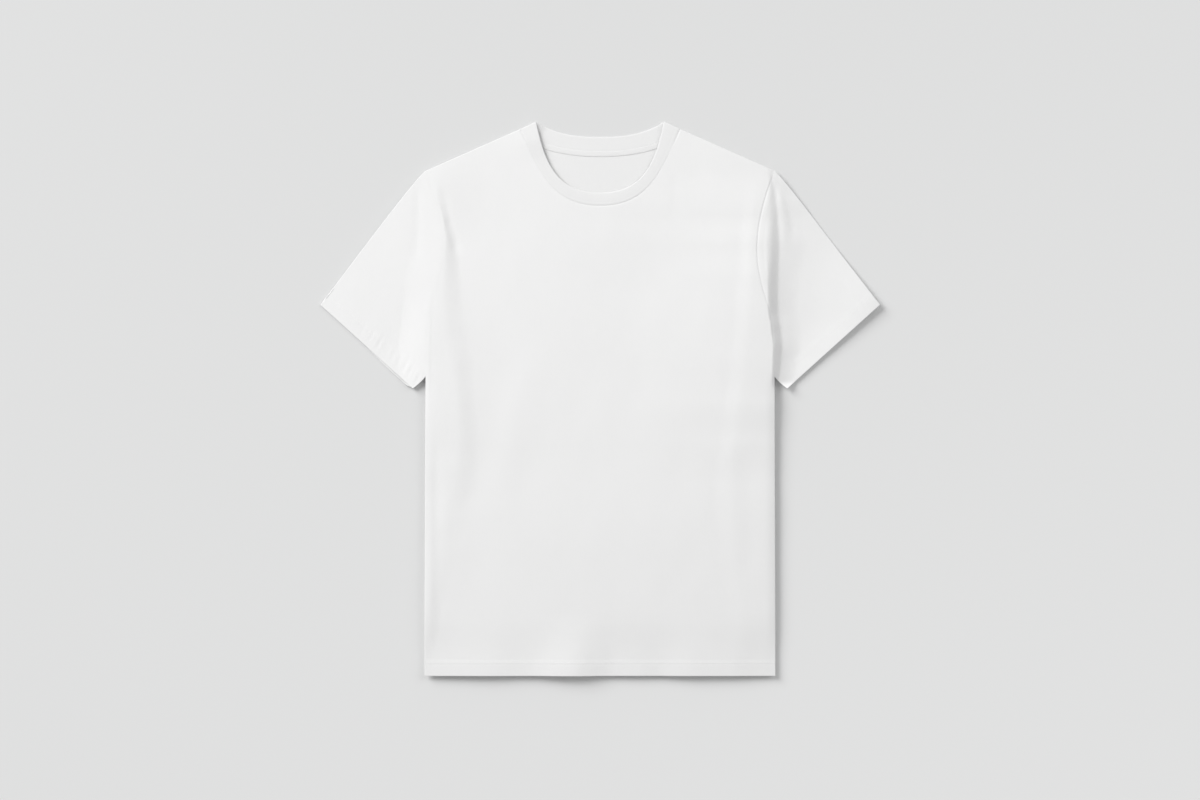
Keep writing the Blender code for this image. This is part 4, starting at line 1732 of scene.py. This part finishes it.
@dataclass(frozen=True)
class ThreadFinish:
    """Spun polyester sewing thread."""

    albedo: float = 0.86
    twist: float = 0.35
    tone: Triple = (1.0, 1.0, 0.998)
    variation: float = 0.02
    relief: float = 0.05
    depth: float = 0.6
    roughness: float = 0.62
    sheen: float = 0.1

    def make(self) -> Material:
        """Wire the material.

        Returns:
            The thread's finish.
        """
        graph = Graph("white sewing thread")
        across = 1.0 / (self.twist * MM)
        fibres = graph.noise(graph.places("Object", (across, across, across)), 1.0, 2.0)
        graph.tint(fibres, self.albedo - self.variation, self.albedo + self.variation, self.tone)
        graph.bump(fibres, self.relief, self.depth)
        graph.feed(graph.shader, Roughness=self.roughness, Sheen_Weight=self.sheen)
        return graph.material


@dataclass(frozen=True)
class FloorFinish:
    """Matt painted board whose colour is painted lighter towards the lower right and darker towards
    the upper left, a painted light offset that evens out the fall of the key light across it.
    """

    albedo: float = 0.761
    # painted light offset: the share by which the colour is lightened towards the lower right and
    # darkened towards the upper left
    fall: float = 0.196
    run: Point = (0.62, -0.785)
    tone: Triple = (0.996, 1.0, 0.999)
    grain: float = 900.0
    relief: float = 0.02
    depth: float = 0.3
    roughness: float = 0.95
    specular: float = 0.1

    def make(self) -> Material:
        """Wire the material.

        Returns:
            The floor's finish.
        """
        graph = Graph("pale matt board with painted light offset")
        spot = graph.axes("Object", (1.0, 1.0, 1.0)).outputs
        # Painted light offset: the colour runs from darker at the upper left to lighter at the lower
        # right, against the fall of the key light.
        across = graph.calc("MULTIPLY", spot["X"], self.run[0])
        along = graph.calc("MULTIPLY_ADD", spot["Y"], self.run[1], across)
        share = graph.calc("MULTIPLY_ADD", along, 0.5, 0.5)
        painted_light_share = graph.calc("MINIMUM", graph.calc("MAXIMUM", share, 0.0), 1.0)
        graph.tint(painted_light_share, self.albedo * (1 - self.fall), self.albedo * (1 + self.fall), self.tone)
        grain = graph.noise(graph.places("Object", (self.grain,) * 3), 1.0, 2.0)
        graph.bump(grain, self.relief, self.depth)
        graph.feed(graph.shader, Roughness=self.roughness, Specular_IOR_Level=self.specular)
        return graph.material


# Studio.


@dataclass(frozen=True)
class SoftLight:
    """A large square light that faces the middle of the floor."""

    name: str
    side: Point
    distance: float
    elevation: float
    size: float
    power: float

    def hang(self) -> None:
        """Hang the light on its side of the shirt and turn it there."""
        rise = math.radians(self.elevation)
        flat = self.distance * math.cos(rise)
        place = Vector((self.side[0] * flat, self.side[1] * flat, self.distance * math.sin(rise)))
        lamp = bpy.data.lights.new(self.name, "AREA")
        lamp.shape = "SQUARE"
        lamp.size = self.size
        lamp.energy = self.power
        light = bpy.data.objects.new(self.name, lamp)
        light.location = place
        light.rotation_euler = (-place).to_track_quat("-Z", "Y").to_euler()
        light.visible_camera = False
        bpy.context.scene.collection.objects.link(light)


@dataclass(frozen=True)
class Studio:
    """The floor, the lights and the camera."""

    frame_width: float = 1560.0
    frame_middle: Point = (0.0, -0.52)
    cloth_level: float = 4.0
    lens: float = 85.0
    sensor: float = 36.0
    clip_end: float = 50.0
    lights: tuple[SoftLight, ...] = (
        SoftLight("key", (-0.77, 0.64), distance=5.5, elevation=30.0, size=3.0, power=304.0),
        SoftLight("fill", (0.83, 0.55), distance=7.0, elevation=33.0, size=4.0, power=104.0),
    )
    sky: float = 0.416
    floor_size: float = 9.0
    floor_level: float = -0.0002

    def build(self) -> None:
        """Lay the floor, and set the lights and the camera."""
        self.lay_floor()
        self.light()
        self.aim_camera()

    def lay_floor(self) -> None:
        """Lay the floor just under the cloth."""
        bm = bmesh.new()
        bmesh.ops.create_grid(bm, x_segments=4, y_segments=4, size=self.floor_size / 2)
        bmesh.ops.translate(bm, verts=bm.verts, vec=(0.0, 0.0, self.floor_level))
        floor = add_object("floor", bm, FloorFinish().make())

    def light(self) -> None:
        """Hang the large soft lights in an even surround."""
        for light in self.lights:
            light.hang()
        world = bpy.data.worlds.new("studio")
        world.use_nodes = True
        surround = world.node_tree.nodes["Background"]
        surround.inputs["Color"].default_value = (1.0, 1.0, 1.0, 1.0)
        surround.inputs["Strength"].default_value = self.sky
        bpy.context.scene.world = world

    def aim_camera(self) -> None:
        """Set the camera straight above the shirt."""
        scene = bpy.context.scene
        eye = bpy.data.cameras.new("camera")
        eye.lens = self.lens
        eye.sensor_width = self.sensor
        eye.clip_end = self.clip_end
        camera = bpy.data.objects.new("camera", eye)
        height = self.frame_width * self.lens / self.sensor + self.cloth_level
        camera.location = (self.frame_middle[0] * MM, self.frame_middle[1] * MM, height * MM)
        scene.collection.objects.link(camera)
        scene.camera = camera
        scene.view_settings.view_transform = "Standard"


@dataclass(frozen=True)
class Shirt:
    """The whole t-shirt in the order in which it is sewn."""

    shape: LaidShape = field(default_factory=lambda: LaidShape(Seams(ShirtPlan())))
    hem_sets: tuple[tuple[Face, float], ...] = ((Face.BACK, 10.5), (Face.FRONT, 1.8))
    left_peek: float = 2.6

    def build(self) -> None:
        """Make every piece, with its stitching and finish."""
        plain = {"wale": 0.8, "course": 0.62, "relief": 0.07}
        jersey = {
            Face.FRONT: KnitFinish("white cotton jersey", albedo=0.856, **plain).make(),
            # The back panel's jersey is a darker copy of the front's: painted shade for the back
            # panel seen in the recess inside the neck.
            Face.BACK: KnitFinish("painted shade jersey for the back", albedo=0.828, **plain).make(),
        }
        # The rib is a shade darker than the front jersey: partly the rib's own tone, partly painted
        # shade for the back band seen inside the neck.
        rib = KnitFinish(
            "white cotton rib", wale=0.85, course=0.7, relief=0.07, albedo=0.828, rib_pitch=1.7
        )
        woven = KnitFinish("white cotton tape", wale=0.7, course=0.5, relief=0.1, albedo=0.85)
        thread = ThreadFinish().make()
        stitching, tape = Stitching(self.shape), NeckTape(self.shape)
        hems = {
            face: StitchRow(f"hem_stitches_{face.value}").build(stitching.hem(face), thread)
            for face in Face
        }
        cuffs = {}
        for side in Side:
            row = StitchRow(f"cuff_stitches_{side.name.lower()}")
            cuffs[side] = row.build(stitching.cuff(side), thread)
        tacks = StitchRow("tape_stitches", Slot.TAPE, pitch=2.4, reach=1.8, thickness=0.28)
        tape_row = tacks.build(stitching.tape(tape), thread)
        for face, hem_set in self.hem_sets:
            self.sew(BodyPanel(self.shape, face, hem_set), jersey[face], [hems[face]])
        for side in Side:
            peek = self.left_peek if side is Side.LEFT else 0.0
            self.sew(Sleeve(self.shape, side, peek=peek), jersey[Face.FRONT], [cuffs[side]])
        self.sew(Neckband(self.shape), rib.make(), [])
        self.sew(tape, woven.make(), [tape_row])

    def sew(
        self,
        part: BodyPanel | Sleeve | Neckband | NeckTape,
        material: Material,
        threads: list[Object],
    ) -> None:
        """Make one piece of cloth.

        Args:
            part: The piece's maker.
            material: Its finish.
            threads: Stitching that belongs to it.
        """
        grid = part.grid()
        made = part.piece()
        piece = made.build(grid, material)
        made.declare(piece, grid, threads)
        LOG.info("%s: %d points on the grid", made.name, grid.points.shape[0] * grid.points.shape[1])


def main() -> None:
    """Build the shirt and the studio."""
    logging.basicConfig(level=logging.INFO, format="%(name)s: %(message)s")
    Shirt().build()
    Studio().build()


if __name__ == "__main__":
    main()
